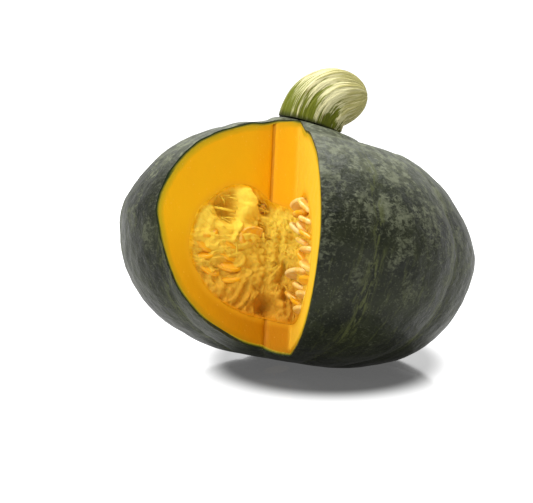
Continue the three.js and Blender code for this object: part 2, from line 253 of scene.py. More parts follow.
@dataclass(frozen=True)
class Stand:
    """How the fruit stands: its axis leans right, then back, over the flat spot."""

    lean_right: float = math.radians(9.5)
    lean_back: float = math.radians(8.0)
    foot: tuple = (-0.016, -0.0128, 0.065)

    def turn(self) -> Array:
        """The rotation from growth axes to standing axes.

        Returns:
            A 3 by 3 matrix.
        """
        back = Matrix.Rotation(-self.lean_back, 3, "X")
        right = Matrix.Rotation(self.lean_right, 3, "Y")
        return np.array(back @ right)

    def place(self, points: Array) -> Array:
        """Stands points up.

        Args:
            points: rows of x, y, z about the axis of growth.

        Returns:
            Rows in the shared frame.
        """
        return points @ self.turn().T + np.array(self.foot)

    def grow(self, points: Array) -> Array:
        """The way back: from the shared frame to the axis of growth.

        Args:
            points: rows in the shared frame.

        Returns:
            Rows about the axis of growth.
        """
        return (points - np.array(self.foot)) @ self.turn()


STAND = Stand()
SKIN_OUTLINE = Outline((
    (0, -63.2), (26, -63.6), (39, -62), (50, -58.6), (61.8, -53.8), (72, -47.2), (81, -38.2),
    (88.2, -26.8), (92.8, -13), (94.4, 0), (92, 10.6), (85.2, 23.6), (76, 35),
    (64.8, 44), (51.6, 50.8), (42, 53.8), (34, 54.8), (27, 56.8), (20.5, 59.8), (0, 60.8)))
HOLLOW_OUTLINE = Outline((
    (0, -44), (26, -44.4), (40, -44.4), (52, -42.4), (64.5, -36), (72, -26), (75, -15),
    (73.5, -4), (70, 4.5), (65, 10.5), (59.5, 15.4), (53, 20), (45, 22.4), (38, 21.4),
    (32.5, 17.6), (27, 14.4), (18, 13.2), (0, 13)))


@dataclass(frozen=True)
class Cut:
    """One knife cut: the way it faces into the opening, and its distance from the middle."""

    facing: float
    rise: float
    reach: float

    def axes(self) -> Array:
        """Directions across the cut's face, up it, and out of it.

        Returns:
            A 3 by 3 matrix with one direction in each row.
        """
        facing, rise = math.radians(self.facing), math.radians(self.rise)
        out = np.array([math.sin(facing) * math.cos(rise),
                        -math.cos(facing) * math.cos(rise), math.sin(rise)])
        across = unit(np.cross((0.0, 0.0, 1.0), out))
        return np.stack([across, np.cross(out, across), out])

    def point(self, across: Array, up: Array, out: Array) -> Array:
        """Places on or off the cut's face.

        Args:
            across: distances across the face.
            up: distances up it.
            out: distances out of it, into the opening.

        Returns:
            Rows about the axis of growth.
        """
        local = np.stack(np.broadcast_arrays(across, up, self.reach + np.asarray(out)), axis=-1)
        return local @ self.axes()

    def height(self, points: Array) -> Array:
        """How far points stand out of the cut.

        Args:
            points: rows about the axis of growth.

        Returns:
            Distances, positive into the opening.
        """
        return points @ self.axes()[2] - self.reach


RIGHT_CUT = Cut(-79.8, -4.4, 0.0065)
MIDDLE_CUT = Cut(-3.0, 13.0, 0.0295)
LEFT_CUT = Cut(27.2, 14.9, 0.019)
CUTS = (RIGHT_CUT, MIDDLE_CUT, LEFT_CUT)


class MeshKit:
    """Makes, joins and cuts meshes."""

    @staticmethod
    def make(name: str, points: Array, faces: Sequence) -> bpy.types.Object:
        """A new object from points and faces, with its place in its mesh.

        Args:
            name: the object's name.
            points: rows of x, y, z.
            faces: index lists, or an array of equal rows.

        Returns:
            The object, linked to the scene.
        """
        mesh = bpy.data.meshes.new(name)
        rows = faces.tolist() if isinstance(faces, np.ndarray) else list(faces)
        mesh.from_pydata(points.tolist(), [], rows)
        mesh.validate()
        mesh.update()
        made = bpy.data.objects.new(name, mesh)
        bpy.context.scene.collection.objects.link(made)
        return made

    @staticmethod
    def points(piece: bpy.types.Object) -> Array:
        """The vertex positions of a piece.

        Args:
            piece: a mesh object.

        Returns:
            Rows of x, y, z.
        """
        flat = np.empty(len(piece.data.vertices) * 3)
        piece.data.vertices.foreach_get("co", flat)
        return flat.reshape(-1, 3)

    @staticmethod
    def mark(piece: bpy.types.Object, name: str, values: Array) -> None:
        """Writes numbers or vectors onto the vertices as a named attribute.

        Args:
            piece: a mesh object.
            name: the attribute's name.
            values: one number or one row of three for each vertex.
        """
        if values.ndim == 1:
            layer = piece.data.attributes.new(name, "FLOAT", "POINT")
            layer.data.foreach_set("value", values.astype(np.float32))
        else:
            layer = piece.data.attributes.new(name, "FLOAT_VECTOR", "POINT")
            layer.data.foreach_set("vector", values.astype(np.float32).ravel())

    @staticmethod
    def ring_faces(rows: int, around: int) -> Array:
        """Quads between closed rings of points that follow each other.

        Args:
            rows: how many rings.
            around: points in each ring.

        Returns:
            Rows of four point numbers.
        """
        row = np.arange(rows - 1)[:, None] * around
        here = np.arange(around)[None, :]
        after = (here + 1) % around
        quads = np.stack([row + here, row + after, row + around + after, row + around + here], -1)
        return quads.reshape(-1, 4)

    @classmethod
    def turned(cls, name: str, line: Array, around: int, phase: float) -> bpy.types.Object:
        """An outline turned round the axis: ring j has radius line[j, 0] and height line[j, 1].

        Args:
            name: the object's name.
            line: rows of radius and height, from the bottom pole to the top one.
            around: points in each ring.
            phase: azimuth of the first point, from -Y towards +X.

        Returns:
            A closed object about the axis of growth.
        """
        turn = phase + np.linspace(0, 2 * np.pi, around, endpoint=False)
        body = line[1:-1]
        ring = np.stack([np.sin(turn), -np.cos(turn)], axis=-1)
        grid = np.concatenate([body[:, None, :1] * ring[None],
                               np.repeat(body[:, None, 1:], around, axis=1)], axis=-1)
        ends = np.array([[0, 0, line[0, 1]], [0, 0, line[-1, 1]]])
        points = np.concatenate([grid.reshape(-1, 3), ends])
        here = np.arange(around)
        after = (here + 1) % around
        bottom, top = len(points) - 2, len(points) - 1
        last = (len(body) - 1) * around
        caps = np.concatenate([np.stack([after, here, np.full(around, bottom)], -1),
                               np.stack([last + here, last + after, np.full(around, top)], -1)])
        quads = cls.ring_faces(len(body), around)
        return cls.make(name, points, quads.tolist() + caps.tolist())

    @classmethod
    def slab(cls, name: str, front: Array, back: Array) -> bpy.types.Object:
        """A closed block between two grids of points, the front one facing backwards.

        Args:
            name: the object's name.
            front: grid of points, rows by columns by three.
            back: grid of the same shape, on the far side.

        Returns:
            The block.
        """
        rows, columns = front.shape[:2]
        number = np.arange(rows * columns).reshape(rows, columns)
        quads = np.stack([number[:-1, :-1], number[:-1, 1:], number[1:, 1:], number[1:, :-1]], -1)
        quads = quads.reshape(-1, 4)
        rim = np.concatenate([number[0, :-1], number[:-1, -1],
                              number[-1, :0:-1], number[:0:-1, 0]])
        after = np.roll(rim, -1)
        count = rows * columns
        walls = np.stack([rim, after, after + count, rim + count], -1)
        faces = np.concatenate([quads[:, ::-1], quads + count, walls])
        points = np.concatenate([front.reshape(-1, 3), back.reshape(-1, 3)])
        return cls.make(name, points, faces)

    @staticmethod
    def combine(body: bpy.types.Object, tool: bpy.types.Object, how: str) -> bpy.types.Object:
        """Cuts, joins or intersects a body with a tool, which is then removed.

        Args:
            body: the closed piece that stays.
            tool: the closed piece that is used up.
            how: DIFFERENCE, UNION or INTERSECT.

        Returns:
            The body, with its new mesh.
        """
        step = body.modifiers.new(how, "BOOLEAN")
        step.operation = how
        step.object = tool
        step.solver = "MANIFOLD"
        graph = bpy.context.evaluated_depsgraph_get()
        mesh = bpy.data.meshes.new_from_object(body.evaluated_get(graph))
        body.modifiers.clear()
        body.data = mesh
        bpy.data.objects.remove(tool)
        return body

    @staticmethod
    def largest(piece: bpy.types.Object) -> bpy.types.Object:
        """Keeps the largest connected part of a piece and drops the scraps.

        Args:
            piece: a mesh object.

        Returns:
            The object that holds the largest part, under the same name.
        """
        name = piece.name
        before = set(bpy.data.objects)
        bpy.ops.object.select_all(action="DESELECT")
        piece.select_set(True)
        bpy.context.view_layer.objects.active = piece
        bpy.ops.object.mode_set(mode="EDIT")
        bpy.ops.mesh.select_all(action="SELECT")
        bpy.ops.mesh.separate(type="LOOSE")
        bpy.ops.object.mode_set(mode="OBJECT")
        parts = [piece] + [part for part in bpy.data.objects if part not in before]
        parts.sort(key=lambda part: len(part.data.vertices))
        kept = parts.pop()
        for part in parts:
            bpy.data.objects.remove(part)
        kept.name = name
        return kept

    @staticmethod
    def smooth(piece: bpy.types.Object, angle: float) -> None:
        """Shades a piece smooth, with edges sharper than an angle kept crisp.

        Args:
            piece: a mesh object.
            angle: degrees between faces past which an edge stays crisp.
        """
        piece.data.polygons.foreach_set("use_smooth", np.ones(len(piece.data.polygons), bool))
        piece.data.set_sharp_from_angle(angle=math.radians(angle))

    @classmethod
    def finish(cls, piece: bpy.types.Object, slot: Slot, nodes: Sequence[str],
               material: bpy.types.Material) -> None:
        """Gives a piece its material and its place in the model.

        Args:
            piece: a mesh object.
            slot: the record's slot; not used.
            nodes: the CAD nodes that it stands for.
            material: its material.
        """
        piece.data.materials.clear()
        piece.data.materials.append(material)
        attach(piece, "root")
        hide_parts(*nodes)
        LOG.info("%s: %d vertices, %d faces", piece.name, len(piece.data.vertices),
                 len(piece.data.polygons))


class Graph:
    """Builds one node material."""

    def __init__(self, name: str) -> None:
        """Starts a material with a shader and its output.

        Args:
            name: the material's name.
        """
        self.material = bpy.data.materials.new(name)
        self.material.use_nodes = True
        self.tree = self.material.node_tree
        self.shader = self.tree.nodes["Principled BSDF"]

    def node(self, kind: str, **settings: object) -> bpy.types.Node:
        """Adds a node and sets its properties.

        Args:
            kind: the node's type name.
            settings: property names and values.

        Returns:
            The node.
        """
        made = self.tree.nodes.new(kind)
        for name, value in settings.items():
            setattr(made, name, value)
        return made

    def feed(self, target: bpy.types.NodeSocket, source: object) -> None:
        """Links a socket, or sets it to a plain value.

        Args:
            target: an input socket.
            source: an output socket, a number or a colour.
        """
        if isinstance(source, bpy.types.NodeSocket):
            self.tree.links.new(source, target)
        elif isinstance(source, (tuple, list)) and len(target.default_value) == 4:
            target.default_value = (*source[:3], 1.0)
        else:
            target.default_value = source

    def attribute(self, name: str, vector: bool = False) -> bpy.types.NodeSocket:
        """A vertex attribute.

        Args:
            name: the attribute's name.
            vector: whether it is a vector.

        Returns:
            Its value or its vector.
        """
        made = self.node("ShaderNodeAttribute", attribute_name=name)
        return made.outputs["Vector" if vector else "Fac"]

    def place(self, scale: tuple = (1, 1, 1)) -> bpy.types.NodeSocket:
        """Object coordinates, scaled.

        Args:
            scale: how much each axis is multiplied by.

        Returns:
            The scaled vector.
        """
        mapping = self.node("ShaderNodeMapping")
        mapping.inputs["Scale"].default_value = scale
        self.feed(mapping.inputs["Vector"], self.node("ShaderNodeTexCoord").outputs["Object"])
        return mapping.outputs["Vector"]

    def noise(self, vector: bpy.types.NodeSocket, scale: float, detail: float = 3.0,
              rough: float = 0.5, warp: float = 0.0) -> bpy.types.NodeSocket:
        """Cloudy noise.

        Args:
            vector: where it is read.
            scale: cells in a metre.
            detail: how many finer layers.
            rough: how strong the finer layers are.
            warp: how far it is distorted.

        Returns:
            Its factor.
        """
        made = self.node("ShaderNodeTexNoise")
        self.feed(made.inputs["Vector"], vector)
        for name, value in (("Scale", scale), ("Detail", detail), ("Roughness", rough),
                            ("Distortion", warp)):
            made.inputs[name].default_value = value
        return made.outputs["Fac"]

    def cells(self, vector: bpy.types.NodeSocket, scale: float) -> bpy.types.NodeSocket:
        """Cell noise.

        Args:
            vector: where it is read.
            scale: cells in a metre.

        Returns:
            The distance to the nearest cell's middle, over the cell size.
        """
        made = self.node("ShaderNodeTexVoronoi")
        self.feed(made.inputs["Vector"], vector)
        made.inputs["Scale"].default_value = scale
        return made.outputs["Distance"]

    def math(self, how: str, first: object, second: object) -> bpy.types.NodeSocket:
        """One sum.

        Args:
            how: the operation's name.
            first: a socket or number.
            second: a socket or number.

        Returns:
            The result.
        """
        made = self.node("ShaderNodeMath", operation=how)
        self.feed(made.inputs[0], first)
        self.feed(made.inputs[1], second)
        return made.outputs["Value"]

    def span(self, value: object, low: float, high: float, start: float = 0.0,
             end: float = 1.0) -> bpy.types.NodeSocket:
        """Maps low to start and high to end, smoothly and without going past them.

        Args:
            value: the number that is mapped.
            low: where the span starts.
            high: where it ends.
            start: result at low.
            end: result at high.

        Returns:
            The result.
        """
        made = self.node("ShaderNodeMapRange", interpolation_type="SMOOTHSTEP")
        for name, item in (("Value", value), ("From Min", low), ("From Max", high),
                           ("To Min", start), ("To Max", end)):
            self.feed(made.inputs[name], item)
        return made.outputs["Result"]

    def ramp(self, value: object, stops: Sequence[tuple]) -> bpy.types.NodeSocket:
        """A colour ramp.

        Args:
            value: the number that is looked up.
            stops: pairs of position and colour.

        Returns:
            The colour.
        """
        made = self.node("ShaderNodeValToRGB")
        table = made.color_ramp.elements
        while len(table) < len(stops):
            table.new(0.5)
        for element, (position, colour) in zip(table, stops):
            element.position = position
            element.color = (*colour, 1.0)
        self.feed(made.inputs["Fac"], value)
        return made.outputs["Color"]

    def mix(self, share: object, first: object, second: object) -> bpy.types.NodeSocket:
        """Blends two colours.

        Args:
            share: how much of the second.
            first: a colour or socket.
            second: a colour or socket.

        Returns:
            The colour.
        """
        made = self.node("ShaderNodeMix", data_type="RGBA")
        self.feed(made.inputs[0], share)
        self.feed(made.inputs[6], first)
        self.feed(made.inputs[7], second)
        return made.outputs[2]

    def bump(self, height: bpy.types.NodeSocket, distance: float, strength: float = 1.0,
             under: Optional[bpy.types.NodeSocket] = None) -> bpy.types.NodeSocket:
        """A bump.

        Args:
            height: its height, 0 to 1.
            distance: how deep it is.
            strength: how strongly it shows.
            under: another bump below it.

        Returns:
            The bent normal.
        """
        made = self.node("ShaderNodeBump")
        self.feed(made.inputs["Height"], height)
        made.inputs["Distance"].default_value = distance
        made.inputs["Strength"].default_value = strength
        if under is not None:
            self.feed(made.inputs["Normal"], under)
        return made.outputs["Normal"]

    def dress(self, **sockets: object) -> bpy.types.Material:
        """Sets the shader's sockets, with underscores for spaces in their names.

        Args:
            sockets: names and values or sources.

        Returns:
            The material.
        """
        for name, value in sockets.items():
            self.feed(self.shader.inputs[name.replace("_", " ")], value)
        return self.material


@dataclass(frozen=True)
class RindFinish:
    """Waxy dark green skin: dense pale mottling at the top that thins out lower down, a greyer top
    that is partly the skin's tone and partly painted sheen from the light above, broken olive
    lines in the furrows, and a cut edge that goes from near black to olive yellow. Values that end
    in cells say how many cells of noise there are in a metre."""

    dark: tuple = (0.006, 0.008, 0.003)
    green: tuple = (0.020, 0.024, 0.009)
    pale: tuple = (0.20, 0.215, 0.135)
    streak: tuple = (0.085, 0.096, 0.030)
    # greyer top colour: partly the skin's own tone, partly painted sheen from the light above
    top_grey_and_sheen: tuple = (0.085, 0.096, 0.068)
    scar: tuple = (0.22, 0.17, 0.08)
    rim_black: tuple = (0.006, 0.012, 0.003)
    rim_green: tuple = (0.012, 0.028, 0.004)
    rim_olive: tuple = (0.12, 0.13, 0.006)
    rim_gold: tuple = (0.55, 0.36, 0.008)
    roughness: float = 0.5
    flattening: tuple = (1.0, 1.0, 1.5)
    cloud_cells: float = 45.0
    drift_cells: float = 75.0
    dent_cells: float = 150.0
    shade_cells: float = 210.0
    line_cells: float = 230.0
    blotch_cells: float = 380.0
    broken_cells: float = 420.0
    stripe_cells: float = 430.0
    grain_cells: float = 620.0
    pore_cells: float = 900.0

    def skin(self, g: Graph) -> tuple:
        """The colour of the skin, and its mottling.

        Args:
            g: the material's graph.

        Returns:
            The colour and the mottling, both as sockets.
        """
        spot = g.place()
        grain = g.attribute("growth", vector=True)
        crown = g.attribute("crown")
        cloud = g.noise(spot, self.cloud_cells, 4, 0.6)
        base = g.mix(g.span(cloud, 0.35, 0.68), self.dark, self.green)
        # towards the top: partly the skin's greyer tone, partly painted sheen from the light above
        base = g.mix(g.span(crown, 0.62, 0.98, 0.0, 0.85), base, self.top_grey_and_sheen)
        blotch = g.noise(g.place(self.flattening), self.blotch_cells, 4, 0.68, 0.7)
        drift = g.noise(spot, self.drift_cells, 3, 0.6, 0.4)
        lines = g.noise(grain, self.line_cells, 3, 0.6, 0.3)
        amount = g.math("ADD", blotch, g.math("MULTIPLY", g.math("SUBTRACT", drift, 0.5), 0.9))
        amount = g.math("ADD", amount, g.math("MULTIPLY", g.math("SUBTRACT", lines, 0.5), 0.5))
        amount = g.math("ADD", amount, g.math("MULTIPLY", g.math("SUBTRACT", crown, 0.62), 0.34))
        mottle = g.span(amount, 0.45, 0.74)
        strength = g.span(crown, 0.3, 0.8, 0.34, 0.7)
        body = g.mix(g.math("MULTIPLY", mottle, strength), base, self.pale)
        shade = g.span(g.noise(spot, self.shade_cells, 2, 0.5, 0.3), 0.56, 0.42)
        body = g.mix(g.math("MULTIPLY", shade, g.span(crown, 0.55, 0.9, 0.2, 0.6)), body,
                     self.green)
        stripes = g.span(g.noise(grain, self.stripe_cells, 3, 0.6, 0.4), 0.55, 0.7)
        body = g.mix(g.math("MULTIPLY", stripes, g.span(crown, 0.75, 0.3, 0.05, 0.36)), body,
                     self.streak)
        pores = g.span(g.noise(spot, self.pore_cells, 2, 0.5), 0.58, 0.72)
        body = g.mix(g.math("MULTIPLY", pores, 0.2), body, self.pale)
        broken = g.span(g.noise(grain, self.broken_cells, 3, 0.65, 0.6), 0.46, 0.62)
        line = g.math("MULTIPLY", g.span(g.attribute("valley"), 0.5, 0.9), broken)
        body = g.mix(g.math("MULTIPLY", line, 0.7), body, self.streak)
        return g.mix(g.attribute("scar"), body, self.scar), amount

    def make(self) -> bpy.types.Material:
        """Builds the material from the attributes growth, valley, crown, scar and edge.

        Returns:
            The material.
        """
        g = Graph("waxy_green_rind")
        spot = g.place()
        body, mottle = self.skin(g)
        edge = g.attribute("edge")
        cut = g.ramp(edge, ((0.0, self.rim_black), (0.26, self.rim_green),
                            (0.5, self.rim_olive), (1.0, self.rim_gold)))
        colour = g.mix(g.span(edge, 0.005, 0.03), body, cut)
        rough = g.span(mottle, 0.3, 0.8, self.roughness - 0.06, self.roughness + 0.14)
        coarse = g.bump(g.noise(spot, self.dent_cells, 3, 0.55, 0.3), 0.0014, 0.7)
        fine = g.bump(g.noise(spot, self.grain_cells, 3, 0.6), 0.0004, 0.6, coarse)
        return g.dress(Base_Color=colour, Roughness=rough, Normal=fine, IOR=1.4,
                       Specular_IOR_Level=0.3, Coat_Weight=0.04, Coat_Roughness=0.3)


@dataclass(frozen=True)
class FleshFinish:
    """Moist golden flesh, olive just under the rind. Painted shade makes it darker orange beside
    and in the knife slit and low in the opening; painted light makes the right cut paler.
    """

    olive: tuple = (0.46, 0.35, 0.008)
    body: tuple = (0.82, 0.42, 0.003)
    # deep: a random deeper tone, and also painted shade beside the knife slit
    deep: tuple = (0.80, 0.345, 0.0005)
    shade: tuple = (0.46, 0.148, 0.0005)
    # pale: painted light, the paler colour of the right cut where it faces the light
    pale: tuple = (0.90, 0.54, 0.038)
    # slit: painted shadow inside the knife slit
    slit: tuple = (0.42, 0.13, 0.0004)
    wall: tuple = (0.78, 0.36, 0.010)
    speck: tuple = (1.0, 0.6, 0.12)
    cloud_cells: float = 30.0
    wobble_cells: float = 90.0
    sheen_cells: float = 150.0
    speck_cells: float = 300.0
    drag_cells: float = 420.0
    grain_cells: float = 1100.0

    def colour(self, g: Graph) -> bpy.types.NodeSocket:
        """The colour of the cut flesh.

        Args:
            g: the material's graph.

        Returns:
            The colour.
        """
        spot = g.place()
        wander = g.math("SUBTRACT", g.noise(spot, self.wobble_cells, 3), 0.5)
        wobble = g.math("MULTIPLY", wander, 0.0022)
        depth = g.math("ADD", g.attribute("depth"), wobble)
        outer = g.ramp(g.span(depth, 0.0015, 0.0085), ((0.0, self.olive), (0.45, self.body),
                                                       (1.0, self.body)))
        cloud = g.span(g.noise(spot, self.cloud_cells, 4, 0.6), 0.3, 0.75)
        tone_and_shade = g.mix(g.math("MULTIPLY", cloud, 0.3), outer, self.deep)
        # painted shade: darker orange within 16 mm of the knife slit
        beside = g.span(g.attribute("kerf"), 0.016, 0.0, 0.0, 0.7)
        tone_and_shade = g.mix(beside, tone_and_shade, self.deep)
        # painted shade: darker orange low down in the opening and by the corner of the right and
        # middle cuts
        tone_and_shade = g.mix(g.math("MULTIPLY", g.attribute("warmth"), 0.75), tone_and_shade, self.shade)
        # painted light: the right cut, away from the rind, is made paler
        paler = g.math("MULTIPLY", g.attribute("pale"), g.span(depth, 0.0022, 0.005))
        colour = g.mix(g.math("MULTIPLY", paler, 0.85), tone_and_shade, self.pale)
        near = g.span(g.attribute("wall"), 0.0035, 0.0, 0.0, 0.6)
        colour = g.mix(near, colour, self.wall)
        # painted shadow: dark brownish orange inside the knife slit
        within = g.span(g.attribute("kerf"), 0.0011, 0.0008, 0.0, 0.6)
        colour = g.mix(within, colour, self.slit)
        specks = g.span(g.cells(spot, self.speck_cells), 0.14, 0.05)
        return g.mix(g.math("MULTIPLY", specks, 0.22), colour, self.speck)

    def make(self) -> bpy.types.Material:
        """Builds the material from the attributes depth, wall, pale (painted light on the right
        cut), warmth and kerf.

        Returns:
            The material.
        """
        g = Graph("moist_golden_flesh")
        spot = g.place()
        drag = g.noise(g.place((1, 1, 0.25)), self.drag_cells, 3, 0.6)
        marks = g.bump(drag, 0.0004, 0.3)
        bumps = g.bump(g.noise(spot, self.grain_cells, 3, 0.6), 0.0002, 0.35, marks)
        rough = g.span(g.noise(spot, self.sheen_cells, 3), 0.3, 0.7, 0.42, 0.6)
        return g.dress(Base_Color=self.colour(g), Roughness=rough, Normal=bumps, IOR=1.36,
                       Specular_IOR_Level=0.18, Subsurface_Weight=0.1,
                       Subsurface_Radius=(0.004, 0.0015, 0.0002), Subsurface_Scale=1.0)


@dataclass(frozen=True)
class PulpFinish:
    """Wet torn pulp: mustard, paler on its ridges by painted light and deep orange in its pits by
    painted shade, with fine fibres that run out from the middle."""

    # hole_shadow and pit: painted shade in the torn face's holes and pits; ridge: painted light on
    # its ridges
    hole_shadow: tuple = (0.20, 0.05, 0.0005)
    pit: tuple = (0.52, 0.165, 0.0008)
    body: tuple = (0.90, 0.45, 0.004)
    ridge: tuple = (0.99, 0.69, 0.075)
    shade: tuple = (0.50, 0.155, 0.0008)
    cloud_cells: float = 260.0
    grain_cells: float = 800.0
    fibre_cells: float = 900.0

    def make(self) -> bpy.types.Material:
        """Builds the material from the attributes stand (0 deep in a pit, 1 on a ridge), which
        sets the painted shade in pits and painted light on ridges, strand (a vector that runs with
        the fibres) and warmth.

        Returns:
            The material.
        """
        g = Graph("torn_wet_pulp")
        spot = g.place()
        strand = g.attribute("strand", vector=True)
        fibres = g.noise(strand, self.fibre_cells, 3, 0.6, 0.6)
        cloud = g.noise(spot, self.cloud_cells, 4, 0.65, 0.5)
        drift = g.math("ADD", g.math("MULTIPLY", g.math("SUBTRACT", cloud, 0.5), 0.5),
                       g.math("MULTIPLY", g.math("SUBTRACT", fibres, 0.5), 0.55))
        lift = g.math("ADD", g.attribute("stand"), drift)
        # painted light and shade by height: dark in holes and pits, pale on ridges
        colour = g.ramp(lift, ((0.04, self.hole_shadow), (0.31, self.pit), (0.56, self.body),
                               (0.92, self.ridge)))
        # painted shade: deep orange low down in the opening and by the corner of the right and
        # middle cuts
        tone_and_shade = g.math("MULTIPLY", g.attribute("warmth"), 0.75)
        colour = g.mix(tone_and_shade, colour, self.shade)
        threads = g.bump(fibres, 0.0007, 0.8)
        bumps = g.bump(g.noise(spot, self.grain_cells, 4, 0.65, 0.8), 0.0005, 0.6, threads)
        return g.dress(Base_Color=colour, Roughness=0.5, Normal=bumps, IOR=1.36,
                       Specular_IOR_Level=0.12, Subsurface_Weight=0.12,
                       Subsurface_Radius=(0.003, 0.0012, 0.0002), Subsurface_Scale=1.0)


@dataclass(frozen=True)
class SeedFinish:
    """Ivory hull with a paler rim, wet with juice, and orange where pulp still covers it."""

    face: tuple = (0.80, 0.55, 0.16)
    rim: tuple = (0.90, 0.68, 0.25)
    pulpy: tuple = (0.86, 0.42, 0.008)
    blush: tuple = (0.66, 0.33, 0.10)
    cloud_cells: float = 260.0
    smear_cells: float = 420.0
    grain_cells: float = 1500.0

    def make(self) -> bpy.types.Material:
        """Builds the material from the attributes brim, 1 on the seed's rim, and cover, how far
        it is still covered by pulp.

        Returns:
            The material.
        """
        g = Graph("ivory_seed_hull")
        spot = g.place()
        cloud = g.span(g.noise(spot, self.cloud_cells, 3, 0.6), 0.35, 0.7)
        face = g.mix(g.math("MULTIPLY", cloud, 0.5), self.face, self.blush)
        colour = g.mix(g.span(g.attribute("brim"), 0.72, 0.92), face, self.rim)
        patches = g.math("SUBTRACT", g.noise(spot, self.smear_cells, 3), 0.5)
        smear = g.math("ADD", g.attribute("cover"), patches)
        colour = g.mix(g.span(smear, 0.1, 0.75), colour, self.pulpy)
        bumps = g.bump(g.noise(spot, self.grain_cells, 2), 0.0001, 0.3)
        return g.dress(Base_Color=colour, Roughness=0.34, Normal=bumps, IOR=1.42,
                       Subsurface_Weight=0.1, Subsurface_Radius=(0.002, 0.001, 0.0005),
                       Subsurface_Scale=1.0)


@dataclass(frozen=True)
class StemFinish:
    """Dry cork: fine cream fibres with tan scars, and broad olive grooves that fade upwards."""

    cream: tuple = (0.78, 0.73, 0.40)
    straw: tuple = (0.47, 0.43, 0.15)
    tan: tuple = (0.40, 0.22, 0.08)
    green: tuple = (0.15, 0.17, 0.010)
    # foot: painted shadow where the stem meets the crown
    foot: tuple = (0.03, 0.035, 0.006)
    scar_cells: float = 300.0
    streak_cells: float = 420.0
    thread_cells: float = 1100.0
    fine_cells: float = 1800.0

    def make(self) -> bpy.types.Material:
        """Builds the material from the attributes fibre, groove and share.

        Returns:
            The material.
        """
        g = Graph("dry_corky_stem")
        fibre = g.attribute("fibre", vector=True)
        share = g.attribute("share")
        streaks = g.noise(fibre, self.streak_cells, 3, 0.6, 0.4)
        threads = g.noise(fibre, self.thread_cells, 2, 0.6, 0.3)
        both = g.math("ADD", g.math("MULTIPLY", streaks, 0.65), g.math("MULTIPLY", threads, 0.35))
        dull = g.span(share, 0.25, 0.95, -0.06, 0.12)
        cork = g.mix(g.span(g.math("ADD", both, dull), 0.44, 0.62), self.cream, self.straw)
        scars = g.span(g.noise(fibre, self.scar_cells, 3, 0.6, 0.5), 0.6, 0.72)
        cork = g.mix(g.math("MULTIPLY", scars, g.span(share, 0.9, 0.4, 0.1, 0.8)), cork, self.tan)
        lower = g.span(share, 0.75, 0.05, -0.3, 0.46)
        sunk = g.math("ADD", g.math("MULTIPLY", g.attribute("groove"), 0.5), lower)
        ragged = g.math("MULTIPLY", g.math("SUBTRACT", both, 0.5), 2.4)
        amount = g.math("ADD", sunk, ragged)
        colour = g.mix(g.span(amount, 0.28, 0.62), cork, self.green)
        # painted shadow: near black at the foot, where the stem meets the crown
        colour = g.mix(g.span(share, 0.055, 0.0, 0.0, 0.85), colour, self.foot)
        bumps = g.bump(both, 0.0016, 0.9)
        fine = g.bump(g.noise(fibre, self.fine_cells, 2, 0.6), 0.0004, 0.6, bumps)
        return g.dress(Base_Color=colour, Roughness=0.85, Normal=fine, Specular_IOR_Level=0.25)


def unwrap_growth(points: Array) -> dict:
    """What the skin's material reads: growth, a vector that runs with the meridians; valley,
    1 in a furrow; crown, 1 at the stem end; scar, 1 at the blossom end; and edge, 0 on the skin
    and 1 at its inner side.

    Args:
        points: rows about the axis of growth.

    Returns:
        Attribute names and values.
    """
    radius = np.hypot(points[:, 0], points[:, 1])
    azimuth = np.arctan2(points[:, 0], -points[:, 1])
    tilt = np.arctan2(points[:, 2], np.maximum(radius, 1e-6))
    wander = 0.05 * Noise(31).waves(points, 0.03)
    spread = np.abs(np.sin(FruitSkin.RIBS / 2 * (azimuth + wander - FruitSkin.PHASE)))
    reach = 0.09 * np.minimum(radius / 0.05, 1.0)
    growth = np.stack([reach * np.sin(azimuth), reach * np.cos(azimuth), 0.02 * tilt], axis=1)
    return {"growth": growth, "valley": (1 - spread) ** FruitSkin.SHARPNESS,
            "crown": np.clip(0.5 + points[:, 2] / 0.12, 0, 1),
            "scar": ease(0.0075, 0.006, radius) * (points[:, 2] < 0),
            "edge": (FruitSkin.depth(points) > 0.0012).astype(float)}


